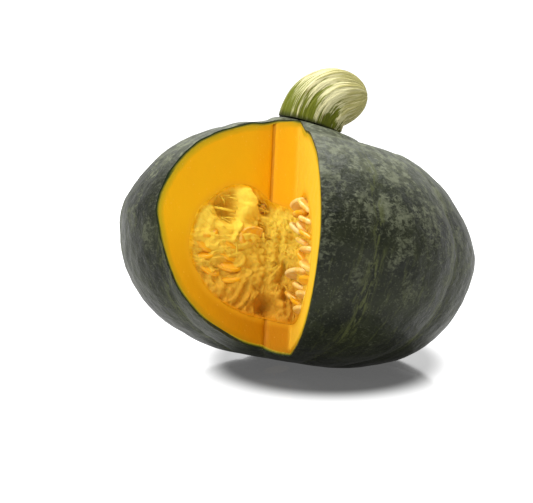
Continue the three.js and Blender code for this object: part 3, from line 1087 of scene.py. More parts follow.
class FruitSkin:
    """The outer form of the fruit, at any depth below its surface."""

    RIBS = 10
    PHASE = math.radians(24.7)
    FURROW = 0.0024
    CROWN_FURROW = 0.001
    SHARPNESS = 1.6
    FURROW_FADE = (0.020, 0.046)
    CROWN_FADE = (0.020, 0.040)
    SLANT = 0.12
    SLANT_OUTER = 0.05
    SLANT_RUN = 0.03
    DENT_FADE = (0.022, 0.05)
    HAMMERED = Noise(5)
    HAMMER_SIZE = 0.0075
    HAMMER_DEPTH = 0.0007
    ROLLING = Noise(9)
    ROLL_SIZE = 0.016
    ROLL_DEPTH = 0.0004

    @classmethod
    def press(cls, points: Array) -> Array:
        """How far the furrows press in: (1 - |sin(5 a)|)^1.6 times their full depth, where a is
        the azimuth from a furrow. They fade out towards both ends.

        Args:
            points: rows about the axis of growth.

        Returns:
            Distances.
        """
        radius = np.hypot(points[:, 0], points[:, 1])
        azimuth = np.arctan2(points[:, 0], -points[:, 1])
        valley = (1 - np.abs(np.sin(cls.RIBS / 2 * (azimuth - cls.PHASE)))) ** cls.SHARPNESS
        crown = ease(*cls.CROWN_FADE, points[:, 2])
        full = cls.FURROW + (cls.CROWN_FURROW - cls.FURROW) * crown
        return valley * ease(*cls.FURROW_FADE, radius) * full

    @classmethod
    def slant(cls, points: Array) -> Array:
        """How far the crown drops towards the right.

        Args:
            points: rows about the axis of growth.

        Returns:
            Distances.
        """
        radius = np.hypot(points[:, 0], points[:, 1])
        share = np.clip((cls.SLANT_OUTER - radius) / cls.SLANT_RUN, 0, 1)
        return np.where(points[:, 2] > 0, cls.SLANT * share * points[:, 0], 0)

    @staticmethod
    def inward(points: Array) -> Array:
        """The way in from the skin: towards the axis, halfway down to the middle.

        Args:
            points: rows about the axis of growth.

        Returns:
            Rows of length one.
        """
        return unit(points * np.array([-1.0, -1.0, -0.5]))

    @classmethod
    def depth(cls, points: Array) -> Array:
        """How far finished points lie below the skin: the slant and the furrows are taken out
        again, and the distance to the plain outline is left.

        Args:
            points: rows about the axis of growth.

        Returns:
            Distances.
        """
        flat = points.copy()
        flat[:, 2] += cls.slant(points)
        flat -= cls.inward(flat) * cls.press(flat)[:, None]
        return SKIN_OUTLINE.depth(flat)

    @classmethod
    def form(cls, points: Array, depth: float, bumps: float) -> Array:
        """Presses the furrows in, slants the crown, adds the dents of the skin, and stands the
        fruit on its flat spot.

        Args:
            points: rows on the turned outline.
            depth: how far they lie below the skin.
            bumps: how strong the dents are, 0 for a smooth skin.

        Returns:
            Rows in the shared frame.
        """
        radius = np.hypot(points[:, 0], points[:, 1])
        inward = cls.inward(points)
        moved = points + inward * cls.press(points)[:, None]
        moved[:, 2] -= cls.slant(points)
        if bumps > 0:
            hammered = np.minimum(cls.HAMMERED.cells(points, cls.HAMMER_SIZE), 0.8) - 0.45
            rolling = cls.ROLLING.layered(points, cls.ROLL_SIZE, 3)
            lift = bumps * (cls.HAMMER_DEPTH * hammered + cls.ROLL_DEPTH * rolling)
            moved -= inward * (lift * ease(*cls.DENT_FADE, radius))[:, None]
        standing = STAND.place(moved)
        standing[:, 2] = np.maximum(standing[:, 2], depth)
        return standing

    @classmethod
    def body(cls, name: str, depth: float, around: int, along: int,
             bumps: float = 0.0) -> bpy.types.Object:
        """The closed form of the fruit at a depth below its skin.

        Args:
            name: the object's name.
            depth: how far below the skin.
            around: points round it.
            along: stretches along its outline.
            bumps: how strong the dents are.

        Returns:
            The standing body.
        """
        made = MeshKit.turned(name, SKIN_OUTLINE.inset(along, depth), around, cls.PHASE)
        placed = cls.form(MeshKit.points(made), depth, bumps)
        made.data.vertices.foreach_set("co", placed.ravel())
        made.data.update()
        return made


class Opening:
    """The missing wedge, as a solid that cuts the pieces."""

    WIDE = 0.105
    TALL = 0.085
    FAR = 0.16

    @classmethod
    def block(cls, cut: Cut, step: float, relief: Relief) -> bpy.types.Object:
        """All that lies in front of one cut, its face a grid moved out or in by a relief.

        Args:
            cut: the knife cut.
            step: spacing of the grid.
            relief: how far each point of the face stands out.

        Returns:
            The block, standing.
        """
        across = np.linspace(-cls.WIDE, cls.WIDE, int(2 * cls.WIDE / step))
        up = np.linspace(-cls.TALL, cls.TALL, int(2 * cls.TALL / step))
        u, v = np.meshgrid(across, up)
        face = cut.point(u, v, 0.0)
        out = cut.axes()[2]
        front = face + relief(face.reshape(-1, 3)).reshape(u.shape)[..., None] * out
        back = face + cls.FAR * out
        return MeshKit.slab("block", STAND.place(front), STAND.place(back))

    @classmethod
    def wedge(cls, step: float, relief: Relief) -> bpy.types.Object:
        """What lies in front of all three cuts.

        Args:
            step: spacing of the faces' grids.
            relief: how far the faces stand out.

        Returns:
            The wedge.
        """
        right, middle, left = (cls.block(cut, step, relief) for cut in CUTS)
        both = MeshKit.combine(right, middle, "INTERSECT")
        return MeshKit.combine(both, left, "INTERSECT")


KNIFE_WANDER = 0.00022
KNIFE_WANDER_SIZE = 0.024
SLIT_DEPTH = 0.0007
SLIT_WIDTH = 0.0008
SHADE_HEIGHTS = (0.006, -0.046)
SHADE_DEPTHS = (-0.075, -0.045)


def level(points: Array) -> Array:
    """A relief of nothing: the cut stays flat.

    Args:
        points: rows of x, y, z.

    Returns:
        Zeros.
    """
    return np.zeros(len(points))


def knife_marks(points: Array) -> Array:
    """The slight wander of a knife cut through dense flesh, and a narrow trough along the slit
    where the left and middle cuts meet.

    Args:
        points: rows about the axis of growth.

    Returns:
        Distances out of the cut.
    """
    wander = KNIFE_WANDER * Noise(61).layered(points, KNIFE_WANDER_SIZE, 3)
    return wander - SLIT_DEPTH * np.exp(-(slit(points) / SLIT_WIDTH) ** 2)


def slit(points: Array) -> Array:
    """How far points are from the line where the left and middle cuts meet.

    Args:
        points: rows about the axis of growth.

    Returns:
        Distances.
    """
    run = unit(np.cross(LEFT_CUT.axes()[2], MIDDLE_CUT.axes()[2]))
    rows = np.stack([LEFT_CUT.axes()[2], MIDDLE_CUT.axes()[2], run])
    start = np.linalg.solve(rows, np.array([LEFT_CUT.reach, MIDDLE_CUT.reach, 0.0]))
    arm = points - start
    return np.linalg.norm(arm - (arm @ run)[:, None] * run, axis=1)


@dataclass
class Rind:
    """The skin: an outer shell with a clean cut edge."""

    thickness: float = 0.0018
    around: int = 440
    along: int = 170
    inner_around: int = 100
    inner_along: int = 60
    cut_step: float = 0.03

    def build(self, finish: RindFinish) -> bpy.types.Object:
        """Makes and dresses the rind.

        Args:
            finish: its finish.

        Returns:
            The piece.
        """
        shell = FruitSkin.body("rind_skin", 0.0, self.around, self.along, 1.0)
        inner = FruitSkin.body("inner", self.thickness, self.inner_around, self.inner_along)
        shell = MeshKit.combine(shell, inner, "DIFFERENCE")
        shell = MeshKit.combine(shell, Opening.wedge(self.cut_step, level), "DIFFERENCE")
        grown = STAND.grow(MeshKit.points(shell))
        for name, values in unwrap_growth(grown).items():
            MeshKit.mark(shell, name, values)
        MeshKit.smooth(shell, 50)
        MeshKit.finish(shell, Slot.RIND, ["rind"], finish.make())
        return shell


class Hollow:
    """The seed hollow, whose wall the flesh and the pulp share."""

    AROUND = 200
    ALONG = 90
    ROUGHNESS = Noise(51)
    ROUGH_SIZE = 0.009
    ROUGH_DEPTH = 0.0012

    @classmethod
    def body(cls, name: str, gap: float) -> bpy.types.Object:
        """The hollow as a solid: its turned outline, made uneven by soft noise.

        Args:
            name: the object's name.
            gap: how far it is moved inwards.

        Returns:
            The standing solid.
        """
        made = MeshKit.turned(name, HOLLOW_OUTLINE.inset(cls.ALONG, gap), cls.AROUND, 0.0)
        points = MeshKit.points(made)
        uneven = cls.ROUGH_DEPTH * cls.ROUGHNESS.layered(points, cls.ROUGH_SIZE, 3)
        moved = points + unit(points * np.array([1.0, 1.0, 0.5])) * uneven[:, None]
        made.data.vertices.foreach_set("co", STAND.place(moved).ravel())
        made.data.update()
        return made


def warmth(points: Array) -> Array:
    """How much painted shade points get: 1 low down and by the corner of the right and middle
    cuts, 0 higher up.

    Args:
        points: rows about the axis of growth.

    Returns:
        Numbers from 0 to 1.
    """
    return ease(*SHADE_HEIGHTS, points[:, 2]) * ease(*SHADE_DEPTHS, points[:, 1])


@dataclass
class Flesh:
    """The thick golden wall, from the rind to the seed hollow."""

    depth: float = 0.0018
    around: int = 160
    along: int = 90
    step: float = 0.0012
    lit_cut_reach: float = 0.001

    def build(self, finish: FleshFinish) -> bpy.types.Object:
        """Makes and dresses the flesh.

        Args:
            finish: its finish.

        Returns:
            The piece.
        """
        body = FruitSkin.body("flesh_wall", self.depth, self.around, self.along)
        body = MeshKit.combine(body, Hollow.body("hollow", 0.0), "DIFFERENCE")
        body = MeshKit.combine(body, Opening.wedge(self.step, knife_marks), "DIFFERENCE")
        grown = STAND.grow(MeshKit.points(body))
        MeshKit.mark(body, "depth", FruitSkin.depth(grown))
        MeshKit.mark(body, "wall", HOLLOW_OUTLINE.depth(grown))
        # pale marks the right cut, where painted light makes the flesh paler
        MeshKit.mark(body, "pale", np.exp(-(RIGHT_CUT.height(grown) / self.lit_cut_reach) ** 2))
        MeshKit.mark(body, "warmth", warmth(grown))
        MeshKit.mark(body, "kerf", slit(grown))
        MeshKit.smooth(body, 35)
        MeshKit.finish(body, Slot.FLESH, ["flesh"], finish.make())
        return body


class Draw:
    """A repeatable stream of numbers from 0 to 1, the same as in the part's source."""

    def __init__(self, seed: int) -> None:
        """Starts the stream at a seed."""
        self.state = seed

    def __call__(self) -> float:
        """The next number: the state times 16807, modulo 2^31 - 1."""
        self.state = self.state * 16807 % 2147483647
        return self.state / 2147483647


@dataclass(frozen=True)
class Dent:
    """A soft round swelling (height above 0) or pit of the torn face, in millimetres."""

    at: tuple
    radius: float
    height: float
    power: float = 3.0

    def lift(self, points: Array) -> Array:
        """The height times e^-(distance / radius)^power.

        Args:
            points: rows about the axis of growth.

        Returns:
            Distances out of the face, in metres.
        """
        far = np.linalg.norm(points - np.array(self.at) * MM, axis=1) / (self.radius * MM)
        return self.height * MM * np.exp(-far ** self.power)


@dataclass(frozen=True)
class Crease:
    """A long ridge (height above 0) or slit of the torn face between two ends, in millimetres."""

    start: tuple
    end: tuple
    width: float
    height: float

    def lift(self, points: Array) -> Array:
        """The height times e^-(distance to the line / width)^2.

        Args:
            points: rows about the axis of growth.

        Returns:
            Distances out of the face, in metres.
        """
        start, end = np.array(self.start) * MM, np.array(self.end) * MM
        run = end - start
        share = np.clip((points - start) @ run / (run @ run), 0, 1)
        far = np.linalg.norm(points - start - share[:, None] * run, axis=1) / (self.width * MM)
        return self.height * MM * np.exp(-far ** 2)


@dataclass(frozen=True)
class Lumps:
    """The lumps of the torn face: swellings and dimples, strewn by a seeded rule over the space
    that starts at a corner. All in millimetres."""

    seed: int = 421
    count: int = 46
    corner: tuple = (-70, -75, -42)
    field: tuple = (85, 62, 64)
    share: float = 0.55
    height: float = 2.6
    dimple: float = -1.2
    spread: float = 5.0
    least: float = 0.7
    range: float = 0.7

    def strewn(self) -> list:
        """All the lumps.

        Returns:
            One dent for each.
        """
        draw = Draw(self.seed)
        made = []
        for _ in range(self.count):
            at = tuple(low + wide * draw() for low, wide in zip(self.corner, self.field))
            height = self.height * (1 if draw() < self.share else self.dimple)
            radius = self.spread * (self.least + self.range * draw())
            made.append(Dent(at, radius, height, 2.0))
        return made


# The forms that the torn face shows singly: pits, swollen seed pockets, ridges and slits.
TORN_FORMS = (
    Dent((-37, -37.5, 10), 6.0, -12), Dent((-18, -27, 14), 4.6, -8),
    Dent((-18, -30.5, 3), 2.6, -6), Dent((-3, -35, -22), 4, -6), Dent((-10, -38, -37), 4.6, -8),
    Dent((-29, -33.3, 12), 6.6, 7, 2.4), Dent((-24.6, -35.5, -3), 6.5, 3.4),
    Crease((-42.5, -41, 4), (-40.5, -37.5, 17), 1.1, 3.0),
    Crease((-35.2, -36.4, 18), (-34.4, -37.6, 4), 1.9, -7.0),
    Crease((-28.6, -30.5, 20), (-23.3, -29.9, 14.1), 1.2, 2.6),
    Crease((-26.5, -30.3, 19.5), (-21, -29.2, 13), 0.9, -4.0),
    Crease((-31.5, -40.1, -6.8), (-29.5, -36.7, 1.9), 1.0, 2.6),
    Crease((-20.7, -31.4, 4.6), (-16.2, -31.9, -4.1), 1.1, 2.4),
    Crease((-19, -30.8, 5.2), (-14.5, -30.0, 0.8), 1.0, -4.5),
    Crease((-4.7, -33.2, -13.5), (-1.3, -37.4, -31.1), 1.5, -6.0),
    Crease((-9, -30, 2), (-7.5, -33, -14), 1.4, -2.6),
    Dent((-15.9, -30.5, -2.4), 1.4, -4), Dent((0.4, -44.7, 14.5), 2.2, -5),
    Dent((3.3, -53, -5.1), 2.2, -6), Dent((2.0, -46, -24), 2.4, -5), Dent((5, -60, 4), 2, -4),
    Dent((2.4, -42, -9), 2.4, -5), Dent((0.5, -37, 3), 2.2, -5))


@dataclass
class Pulp:
    """The torn mass in the seed hollow."""

    gap: float = 0.00008
    step: float = 0.0006
    recess: float = 0.0022
    middle: tuple = (-0.004, -0.014, -0.010)
    sway: float = 0.004
    sway_size: float = 0.012
    strand_reach: float = 0.045
    fold: float = 0.0013
    fold_size: float = 0.0034
    fibre: float = 0.0006
    fibre_size: float = 0.0012
    rag: float = 0.0014
    rag_size: float = 0.0046
    ripple: float = 0.0011
    ripple_size: float = 0.0035
    soft_above: float = 0.0024
    softening: float = 0.4
    wall_fade: tuple = (0.0002, 0.0028)
    colour_fade: float = 0.004
    # how the torn face's height sets its painted light and shade
    level_stand: float = 0.70
    stand_rate: float = 120.0
    wall_stand: float = 0.56

    def strand(self, points: Array) -> Array:
        """A vector that changes fast across the fibres and slowly along them: the direction from
        the middle of the pulp, times a fixed radius, plus a tenth of the distance.

        Args:
            points: rows about the axis of growth.

        Returns:
            Rows of three.
        """
        waves = [Noise(k).waves(points, self.sway_size) for k in (41, 42, 43)]
        arm = points + self.sway * np.stack(waves, axis=1) - np.array(self.middle)
        length = np.linalg.norm(arm, axis=1, keepdims=True)
        return self.strand_reach * arm / length + 0.1 * length * np.array([0.6, 0.5, 0.6])

    def relief(self, points: Array) -> Array:
        """How far the torn face stands out: seeded lumps, named pits, swellings and creases,
        folds that run out from the middle, and small ragged cells. What stands out far is made
        flatter, and it all fades out at the wall of the hollow, where the pulp meets the flesh.

        Args:
            points: rows about the axis of growth.

        Returns:
            Distances out of the cut.
        """
        height = np.full(len(points), -self.recess)
        for form in (*Lumps().strewn(), *TORN_FORMS):
            height += form.lift(points)
        strand = self.strand(points)
        height += self.fold * (1 - 2.4 * np.abs(Noise(77).layered(strand, self.fold_size, 2)))
        height += self.fibre * Noise(79).layered(strand, self.fibre_size, 2)
        height += self.rag * (0.5 - Noise(83).cells(points, self.rag_size))
        height += self.ripple * Noise(85).layered(points, self.ripple_size, 3)
        softer = self.soft_above + self.softening * (height - self.soft_above)
        fade = ease(*self.wall_fade, HOLLOW_OUTLINE.depth(points))
        return np.where(height > self.soft_above, softer, height) * fade

    def build(self, finish: PulpFinish) -> bpy.types.Object:
        """Makes and dresses the pulp.

        Args:
            finish: its finish.

        Returns:
            The piece.
        """
        mass = Hollow.body("pulp_mass", self.gap)
        mass = MeshKit.combine(mass, Opening.wedge(self.step, self.relief), "DIFFERENCE")
        mass = MeshKit.largest(mass)
        grown = STAND.grow(MeshKit.points(mass))
        tallest = np.max([cut.height(grown) for cut in CUTS], axis=0)
        wall = ease(0.0, self.colour_fade, HOLLOW_OUTLINE.depth(grown))
        # stand: height out of the cut, for painted shade in pits and painted light on ridges
        stand = np.clip(self.level_stand + tallest * self.stand_rate, 0, 1)
        MeshKit.mark(mass, "stand", self.wall_stand + (stand - self.wall_stand) * wall)
        MeshKit.mark(mass, "strand", self.strand(grown))
        MeshKit.mark(mass, "warmth", warmth(grown))
        MeshKit.smooth(mass, 75)
        MeshKit.finish(mass, Slot.PULP, ["pulp"], finish.make())
        return mass


@dataclass(frozen=True)
class PlantedSeed:
    """One seed on a cut face: its place across and up the face (metres), its spin in the face,
    how far it is tipped on edge, how far its middle rises out of the torn face, and how far it is
    still covered with pulp."""

    cut: Cut
    across: float
    up: float
    spin: float
    tip: float
    rise: float
    cover: float


@dataclass(frozen=True)
class SeedRows:
    """Two alternating rows of seeds beside the wall of the hollow, in millimetres and radians.
    sign is the side of the cut face, low and high are the heights of the rows' ends, low_rise and
    high_rise how far the seeds' middles stand out there, wall and row their distances from the
    wall and from each other, and extra is how much further out they stand than in the solids."""

    cut: Cut
    sign: int
    count: int
    low: float
    high: float
    low_rise: float
    high_rise: float
    row: float
    tip: float
    tip_spread: float
    cover: float
    extra: float
    wall: float = 9.0
    wall_from: float = 45.0
    scatter: float = 3.0
    spin: float = 0.9
    cover_more: float = 0.3

    def planted(self, draw: Draw) -> list:
        """The seeds of both rows.

        Args:
            draw: the stream of numbers.

        Returns:
            The planted seeds.
        """
        line = HOLLOW_OUTLINE.sample(160) / MM
        line = line[line[:, 0] > self.wall_from]
        cut, rise = self.cut, math.radians(self.cut.rise)
        placed = []
        for i in range(self.count):
            share = i / (self.count - 1)
            up = self.low + (self.high - self.low) * share
            height = up * math.cos(rise) + cut.reach / MM * math.sin(rise)
            radius = line[np.argmin(np.abs(line[:, 1] - height)), 0]
            wall = math.sqrt(radius ** 2 - (cut.reach / MM) ** 2)
            inside = self.wall + (i % 2) * self.row + self.scatter * draw()
            spin = self.spin * (draw() - 0.5) + (math.pi if self.sign < 0 else 0.0)
            tip = self.tip + self.tip_spread * draw()
            most = self.low_rise + (self.high_rise - self.low_rise) * share
            lift = most - draw() + self.extra
            placed.append(PlantedSeed(cut, self.sign * (wall - inside) * MM, up * MM, spin, tip,
                                      lift * MM, self.cover + self.cover_more * (i % 3 == 1)))
        return placed


RIGHT_SEEDS = SeedRows(RIGHT_CUT, 1, count=15, low=-36, high=16, low_rise=-0.8, high_rise=1.2,
                       row=12, tip=1.15, tip_spread=0.5, cover=0.4, extra=1.0)
LEFT_SEEDS = SeedRows(LEFT_CUT, -1, count=9, low=-34, high=-9, low_rise=0.4, high_rise=0.4,
                      row=13, tip=0.3, tip_spread=0.7, cover=0.75, extra=-1.9)


@dataclass
class Seeds:
    """All the seeds that show, in rows inside the hollow's wall and in torn pockets."""

    length: float = 0.0155
    width: float = 0.0094
    thickness: float = 0.0034
    recess: float = 0.0022
    taper: float = 0.32
    rounding: float = 0.1
    rim_at: float = 0.86
    rim_width: float = 0.07
    rim_swell: float = 0.55
    face_plumpness: float = 0.8
    around: int = 32
    along: int = 24
    seed: int = 97

    def planted(self) -> list:
        """Every seed: the rows of the part's source, and the ones in the torn pockets.

        Returns:
            The planted seeds.
        """
        draw = Draw(self.seed)
        right = RIGHT_SEEDS.planted(draw)
        left = LEFT_SEEDS.planted(draw)
        pockets = [
            PlantedSeed(LEFT_CUT, -0.0368, -0.0080, 0.55, 0.25, 0.0024, 0.6),
            PlantedSeed(LEFT_CUT, -0.0262, 0.0095, 0.9, 0.9, -0.0052, 0.4),
            PlantedSeed(RIGHT_CUT, 0.0340, 0.0170, 0.4, 1.3, 0.0020, 0.2),
            PlantedSeed(RIGHT_CUT, 0.0385, 0.0045, -0.3, 1.2, 0.0026, 0.0),
            PlantedSeed(RIGHT_CUT, 0.0400, -0.0180, 0.3, 1.4, 0.0026, 0.2),
            PlantedSeed(RIGHT_CUT, 0.0370, -0.0300, -0.2, 1.2, 0.0016, 0.5)]
        return right + left + pockets

    def hull(self) -> tuple:
        """One seed along +X: a flattened ball with a thin raised rim, drawn in towards its
        pointed end by 1 - taper x - rounding x^2.

        Returns:
            Its points, its faces and how near each point is to the rim.
        """
        turn = np.linspace(0, math.pi, self.along + 1)
        line = np.stack([np.sin(turn), -np.cos(turn)], axis=1)
        ball = MeshKit.turned("ball", line, self.around, 0.0)
        points = MeshKit.points(ball)[:, [2, 0, 1]]
        faces = [list(face.vertices) for face in ball.data.polygons]
        bpy.data.objects.remove(ball)
        along = points[:, 0]
        taper = 1 - self.taper * along - self.rounding * along ** 2
        brim = np.clip(np.sqrt(along ** 2 + points[:, 1] ** 2), 0, 1)
        rim = np.exp(-((brim - self.rim_at) / self.rim_width) ** 2)
        plump = self.face_plumpness + self.rim_swell * rim
        shaped = np.stack([along * self.length / 2, points[:, 1] * taper * self.width / 2,
                           points[:, 2] * plump * self.thickness / 2], axis=1)
        return shaped, faces, brim

    def build(self, finish: SeedFinish) -> bpy.types.Object:
        """Makes and dresses the seeds, as one piece.

        Args:
            finish: their finish.

        Returns:
            The piece.
        """
        hull, faces, brim = self.hull()
        points, rows, covers = [], [], []
        for number, seed in enumerate(self.planted()):
            tip = np.array(Matrix.Rotation(seed.tip, 3, "X"))
            spin = np.array(Matrix.Rotation(seed.spin, 3, "Z"))
            turned = hull @ tip.T @ spin.T @ seed.cut.axes()
            at = seed.cut.point(seed.across, seed.up, seed.rise - self.recess)
            points.append(turned + at)
            rows += [[item + number * len(hull) for item in face] for face in faces]
            covers.append(np.full(len(hull), seed.cover))
        made = MeshKit.make("seeds", STAND.place(np.concatenate(points)), rows)
        MeshKit.mark(made, "brim", np.tile(brim, len(covers)))
        MeshKit.mark(made, "cover", np.concatenate(covers))
        MeshKit.smooth(made, 80)
        MeshKit.finish(made, Slot.SEED, ["pulp"], finish.make())
        return made


@dataclass(frozen=True)
class Patch:
    """A stretch of a cut face where strands start: its middle and its size, in millimetres."""

    cut: Cut
    across: float
    up: float
    wide: float
    tall: float

    def spot(self, draw: Draw) -> Array:
        """A place on it.

        Args:
            draw: the stream of numbers.

        Returns:
            Across and up.
        """
        return np.array([self.across + self.wide * (draw() - 0.5),
                         self.up + self.tall * (draw() - 0.5)])


@dataclass
class Strands:
    """Loose strands and threads that arch over the torn face between two sunk ends."""

    seed: int = 733
    strand_count: int = 16
    strand_radius: float = 0.0007
    strand_bend: float = 0.1
    strand_patches: tuple = (Patch(RIGHT_CUT, 46, -10, 20, 40), Patch(LEFT_CUT, -46, -10, 30, 34))
    thread_count: int = 110
    thread_patches: tuple = (
        Patch(LEFT_CUT, -40, -2, 40, 34), Patch(MIDDLE_CUT, -4, -14, 14, 34),
        Patch(RIGHT_CUT, 42, -8, 34, 46), Patch(LEFT_CUT, -34, 2, 24, 26))
    recess: float = 0.0022
    sunk: float = 0.003
    thin_end: float = 0.35
    flatness: float = 0.6
    sides: int = 8
    steps: int = 22
    # stand and stand_rate: height out of the cut, for painted light and shade as on the torn face
    stand: float = 0.74
    stand_rate: float = 80.0
    off_wall: float = 0.001
    reach: float = 0.073
    lowest: float = -0.041

    def tube(self, cut: Cut, start: Array, end: Array, arch: float, radius: float,
             bend: float) -> Array:
        """Rings of one strand: its middle follows start (1-t)^2 + end t^2 + a raised middle point
        2 t (1-t), and its radius swells over half a sine wave.

        Args:
            cut: the knife cut whose face it lies on.
            start: its first end, across and up the face.
            end: its second end.
            arch: how high its middle point is.
            radius: its radius in the middle.
            bend: how far it bows sideways.

        Returns:
            Rings of points about the axis of growth.
        """
        t = np.linspace(0, 1, self.steps)[:, None]
        side = np.array([start[1] - end[1], end[0] - start[0]])
        middle = (start + end) / 2 + bend * side
        flat = start * (1 - t) ** 2 + 2 * middle * t * (1 - t) + end * t ** 2
        out = -self.sunk * ((1 - t) ** 2 + t ** 2) + 2 * arch * t * (1 - t) - self.recess
        line = cut.point(flat[:, 0], flat[:, 1], out[:, 0])
        run = unit(np.gradient(line, axis=0))
        first = unit(np.cross(run, cut.axes()[2]))
        second = np.cross(run, first)
        thick = radius * (self.thin_end + (1 - self.thin_end) * np.sin(np.pi * t))
        turn = np.linspace(0, 2 * np.pi, self.sides, endpoint=False)[None, :, None]
        ring = np.cos(turn) * first[:, None] + self.flatness * np.sin(turn) * second[:, None]
        return line[:, None] + thick[:, None] * ring

    def all(self) -> list:
        """The strands of the part's source, and finer threads between them.

        Returns:
            Rings of points for each.
        """
        draw = Draw(self.seed)
        made = []
        for i in range(self.strand_count):
            patch = self.strand_patches[i % len(self.strand_patches)]
            turn = 2 * math.pi * draw()
            length = 13 + 10 * draw()
            start = patch.spot(draw)
            end = start + length * np.array([math.cos(turn), math.sin(turn)])
            arch = 3.2 + 2 * draw()
            made.append(self.tube(patch.cut, start * MM, end * MM, arch * MM,
                                  self.strand_radius, self.strand_bend))
        for i in range(self.thread_count):
            patch = self.thread_patches[i % len(self.thread_patches)]
            start = patch.spot(draw)
            away = math.atan2(start[1] + 8, start[0]) + 1.5 * (draw() - 0.5)
            length = 5 + 7 * draw()
            end = start + length * np.array([math.cos(away), math.sin(away)])
            made.append(self.tube(patch.cut, start * MM, end * MM, (2.0 + 2.6 * draw()) * MM,
                                  (0.22 + 0.3 * draw()) * MM, 0.6 * (draw() - 0.5)))
        return made

    def build(self, pulp: Pulp, finish: PulpFinish) -> bpy.types.Object:
        """Makes and dresses the strands, as one piece, and leaves out those that reach past the
        wall of the hollow.

        Args:
            pulp: the torn mass that they belong to.
            finish: its finish.

        Returns:
            The piece.
        """
        outline = HOLLOW_OUTLINE.sample(200)
        kept = [rings for rings in self.all() if self.inside(rings, outline)]
        quads = MeshKit.ring_faces(self.steps, self.sides)
        here = np.arange(self.sides)
        count = self.steps * self.sides
        faces, points = [], []
        for number, rings in enumerate(kept):
            first = number * count
            faces += (quads + first).tolist()
            faces += [(here[::-1] + first).tolist(), (here + first + count - self.sides).tolist()]
            points.append(rings.reshape(-1, 3))
        grown = np.concatenate(points)
        made = MeshKit.make("pulp_strands", STAND.place(grown), faces)
        tallest = np.max([cut.height(grown) for cut in CUTS], axis=0)
        # painted light and shade by height, as on the torn face
        MeshKit.mark(made, "stand", np.clip(self.stand + tallest * self.stand_rate, 0, 1))
        MeshKit.mark(made, "strand", pulp.strand(grown))
        MeshKit.mark(made, "warmth", warmth(grown))
        MeshKit.smooth(made, 80)
        MeshKit.finish(made, Slot.PULP, ["pulp"], finish.make())
        return made

    def inside(self, rings: Array, outline: Array) -> bool:
        """Whether a strand stays within the hollow, one millimetre off its wall.

        Args:
            rings: its points.
            outline: the hollow's sampled outline.

        Returns:
            True if all of it does.
        """
        flat = rings.reshape(-1, 3)
        radius = np.hypot(flat[:, 0], flat[:, 1]) + self.off_wall
        upper = outline[outline[:, 1] > -0.015]
        roof = np.interp(radius, upper[::-1, 0], upper[::-1, 1], right=-1.0)
        return bool(np.all(flat[:, 2] < roof - self.off_wall)
                    and np.all(flat[:, 2] > self.lowest) and np.all(radius < self.reach))


@dataclass
class Stem:
    """The corky ridged stub, bent over an arc towards the right."""

    width: float = 0.0158
    swell: float = 0.0012
    roundness: float = 3.2
    length: float = 0.039
    bend: float = math.radians(70)
    bend_radius: float = 0.020
    turn: float = math.radians(14)
    twist: float = 0.35
    ridges: int = 8
    ridge: float = 0.0008
    ridge_wander: float = 0.7
    fine: float = 0.0007
    fine_size: float = 0.006
    fibre: float = 0.0007
    fibre_size: float = 0.0022
    around: int = 400
    along: int = 140
    centre: float = -0.0043
    crown: float = 0.0608
    gap: float = 0.0003

    def radius(self, share: Array) -> Array:
        """The stem's radius: a slight swell over half a sine wave, then a rounded end.

        Args:
            share: share of the length from the base.

        Returns:
            Radii.
        """
        rounding = np.sqrt(1 - share ** self.roundness)
        return (self.width + self.swell * np.sin(np.pi * share)) * rounding

    def bent(self, points: Array, swell: Array) -> Array:
        """Bends the straight stub over an arc, runs it on straight, and puts it on the crown.

        Args:
            points: rows on the straight stub.
            swell: how much each is moved out from its middle.

        Returns:
            Rows in the shared frame.
        """
        bend_length = self.bend_radius * self.bend
        angle = np.minimum(points[:, 2], bend_length) / self.bend_radius
        beyond = np.maximum(points[:, 2] - bend_length, 0)
        out = self.bend_radius - points[:, 0] * swell
        bent = np.stack([self.bend_radius - out * np.cos(angle) + beyond * np.sin(angle),
                         points[:, 1] * swell,
                         out * np.sin(angle) + beyond * np.cos(angle)], axis=1)
        turn = np.array(Matrix.Rotation(self.turn, 3, "Z"))
        lean = np.array(Matrix.Rotation(math.atan(FruitSkin.SLANT), 3, "Y"))
        foot = np.array([self.centre, 0, self.crown + self.gap - FruitSkin.SLANT * self.centre])
        return STAND.place(bent @ turn.T @ lean.T + foot)

    def build(self, finish: StemFinish) -> bpy.types.Object:
        """Makes and dresses the stem: a turned stub with ridges and fine fibres, bent over.

        Args:
            finish: its finish.

        Returns:
            The piece.
        """
        share = 1 - (1 - np.linspace(0, 1, self.along)) ** 1.6
        line = np.stack([self.radius(share), share * self.length], axis=1)
        line = np.concatenate([[[0, 0]], line])
        stub = MeshKit.turned("stem_stub", line, self.around, 0.0)
        points = MeshKit.points(stub)
        part = points[:, 2] / self.length
        azimuth = np.arctan2(points[:, 1], points[:, 0]) + self.twist * part
        ring = np.stack([np.cos(azimuth), np.sin(azimuth), 0.2 * part], axis=1) * 0.03
        fine = Noise(91).layered(ring, self.fine_size, 2)
        fibres = Noise(93).layered(ring, self.fibre_size, 2)
        wander = self.ridge_wander * Noise(95).waves(ring, 0.02)
        wave = np.cos(self.ridges * azimuth + wander)
        lift = self.ridge * wave + self.fine * fine + self.fibre * fibres
        placed = self.bent(points, 1 + lift / self.width)
        stub.data.vertices.foreach_set("co", placed.ravel())
        MeshKit.mark(stub, "fibre", ring)
        MeshKit.mark(stub, "groove", np.clip(0.5 - 0.3 * wave - 0.5 * fine - 0.5 * fibres, 0, 1))
        MeshKit.mark(stub, "share", part)
        MeshKit.smooth(stub, 60)
        MeshKit.finish(stub, Slot.STEM, ["stem"], finish.make())
        return stub


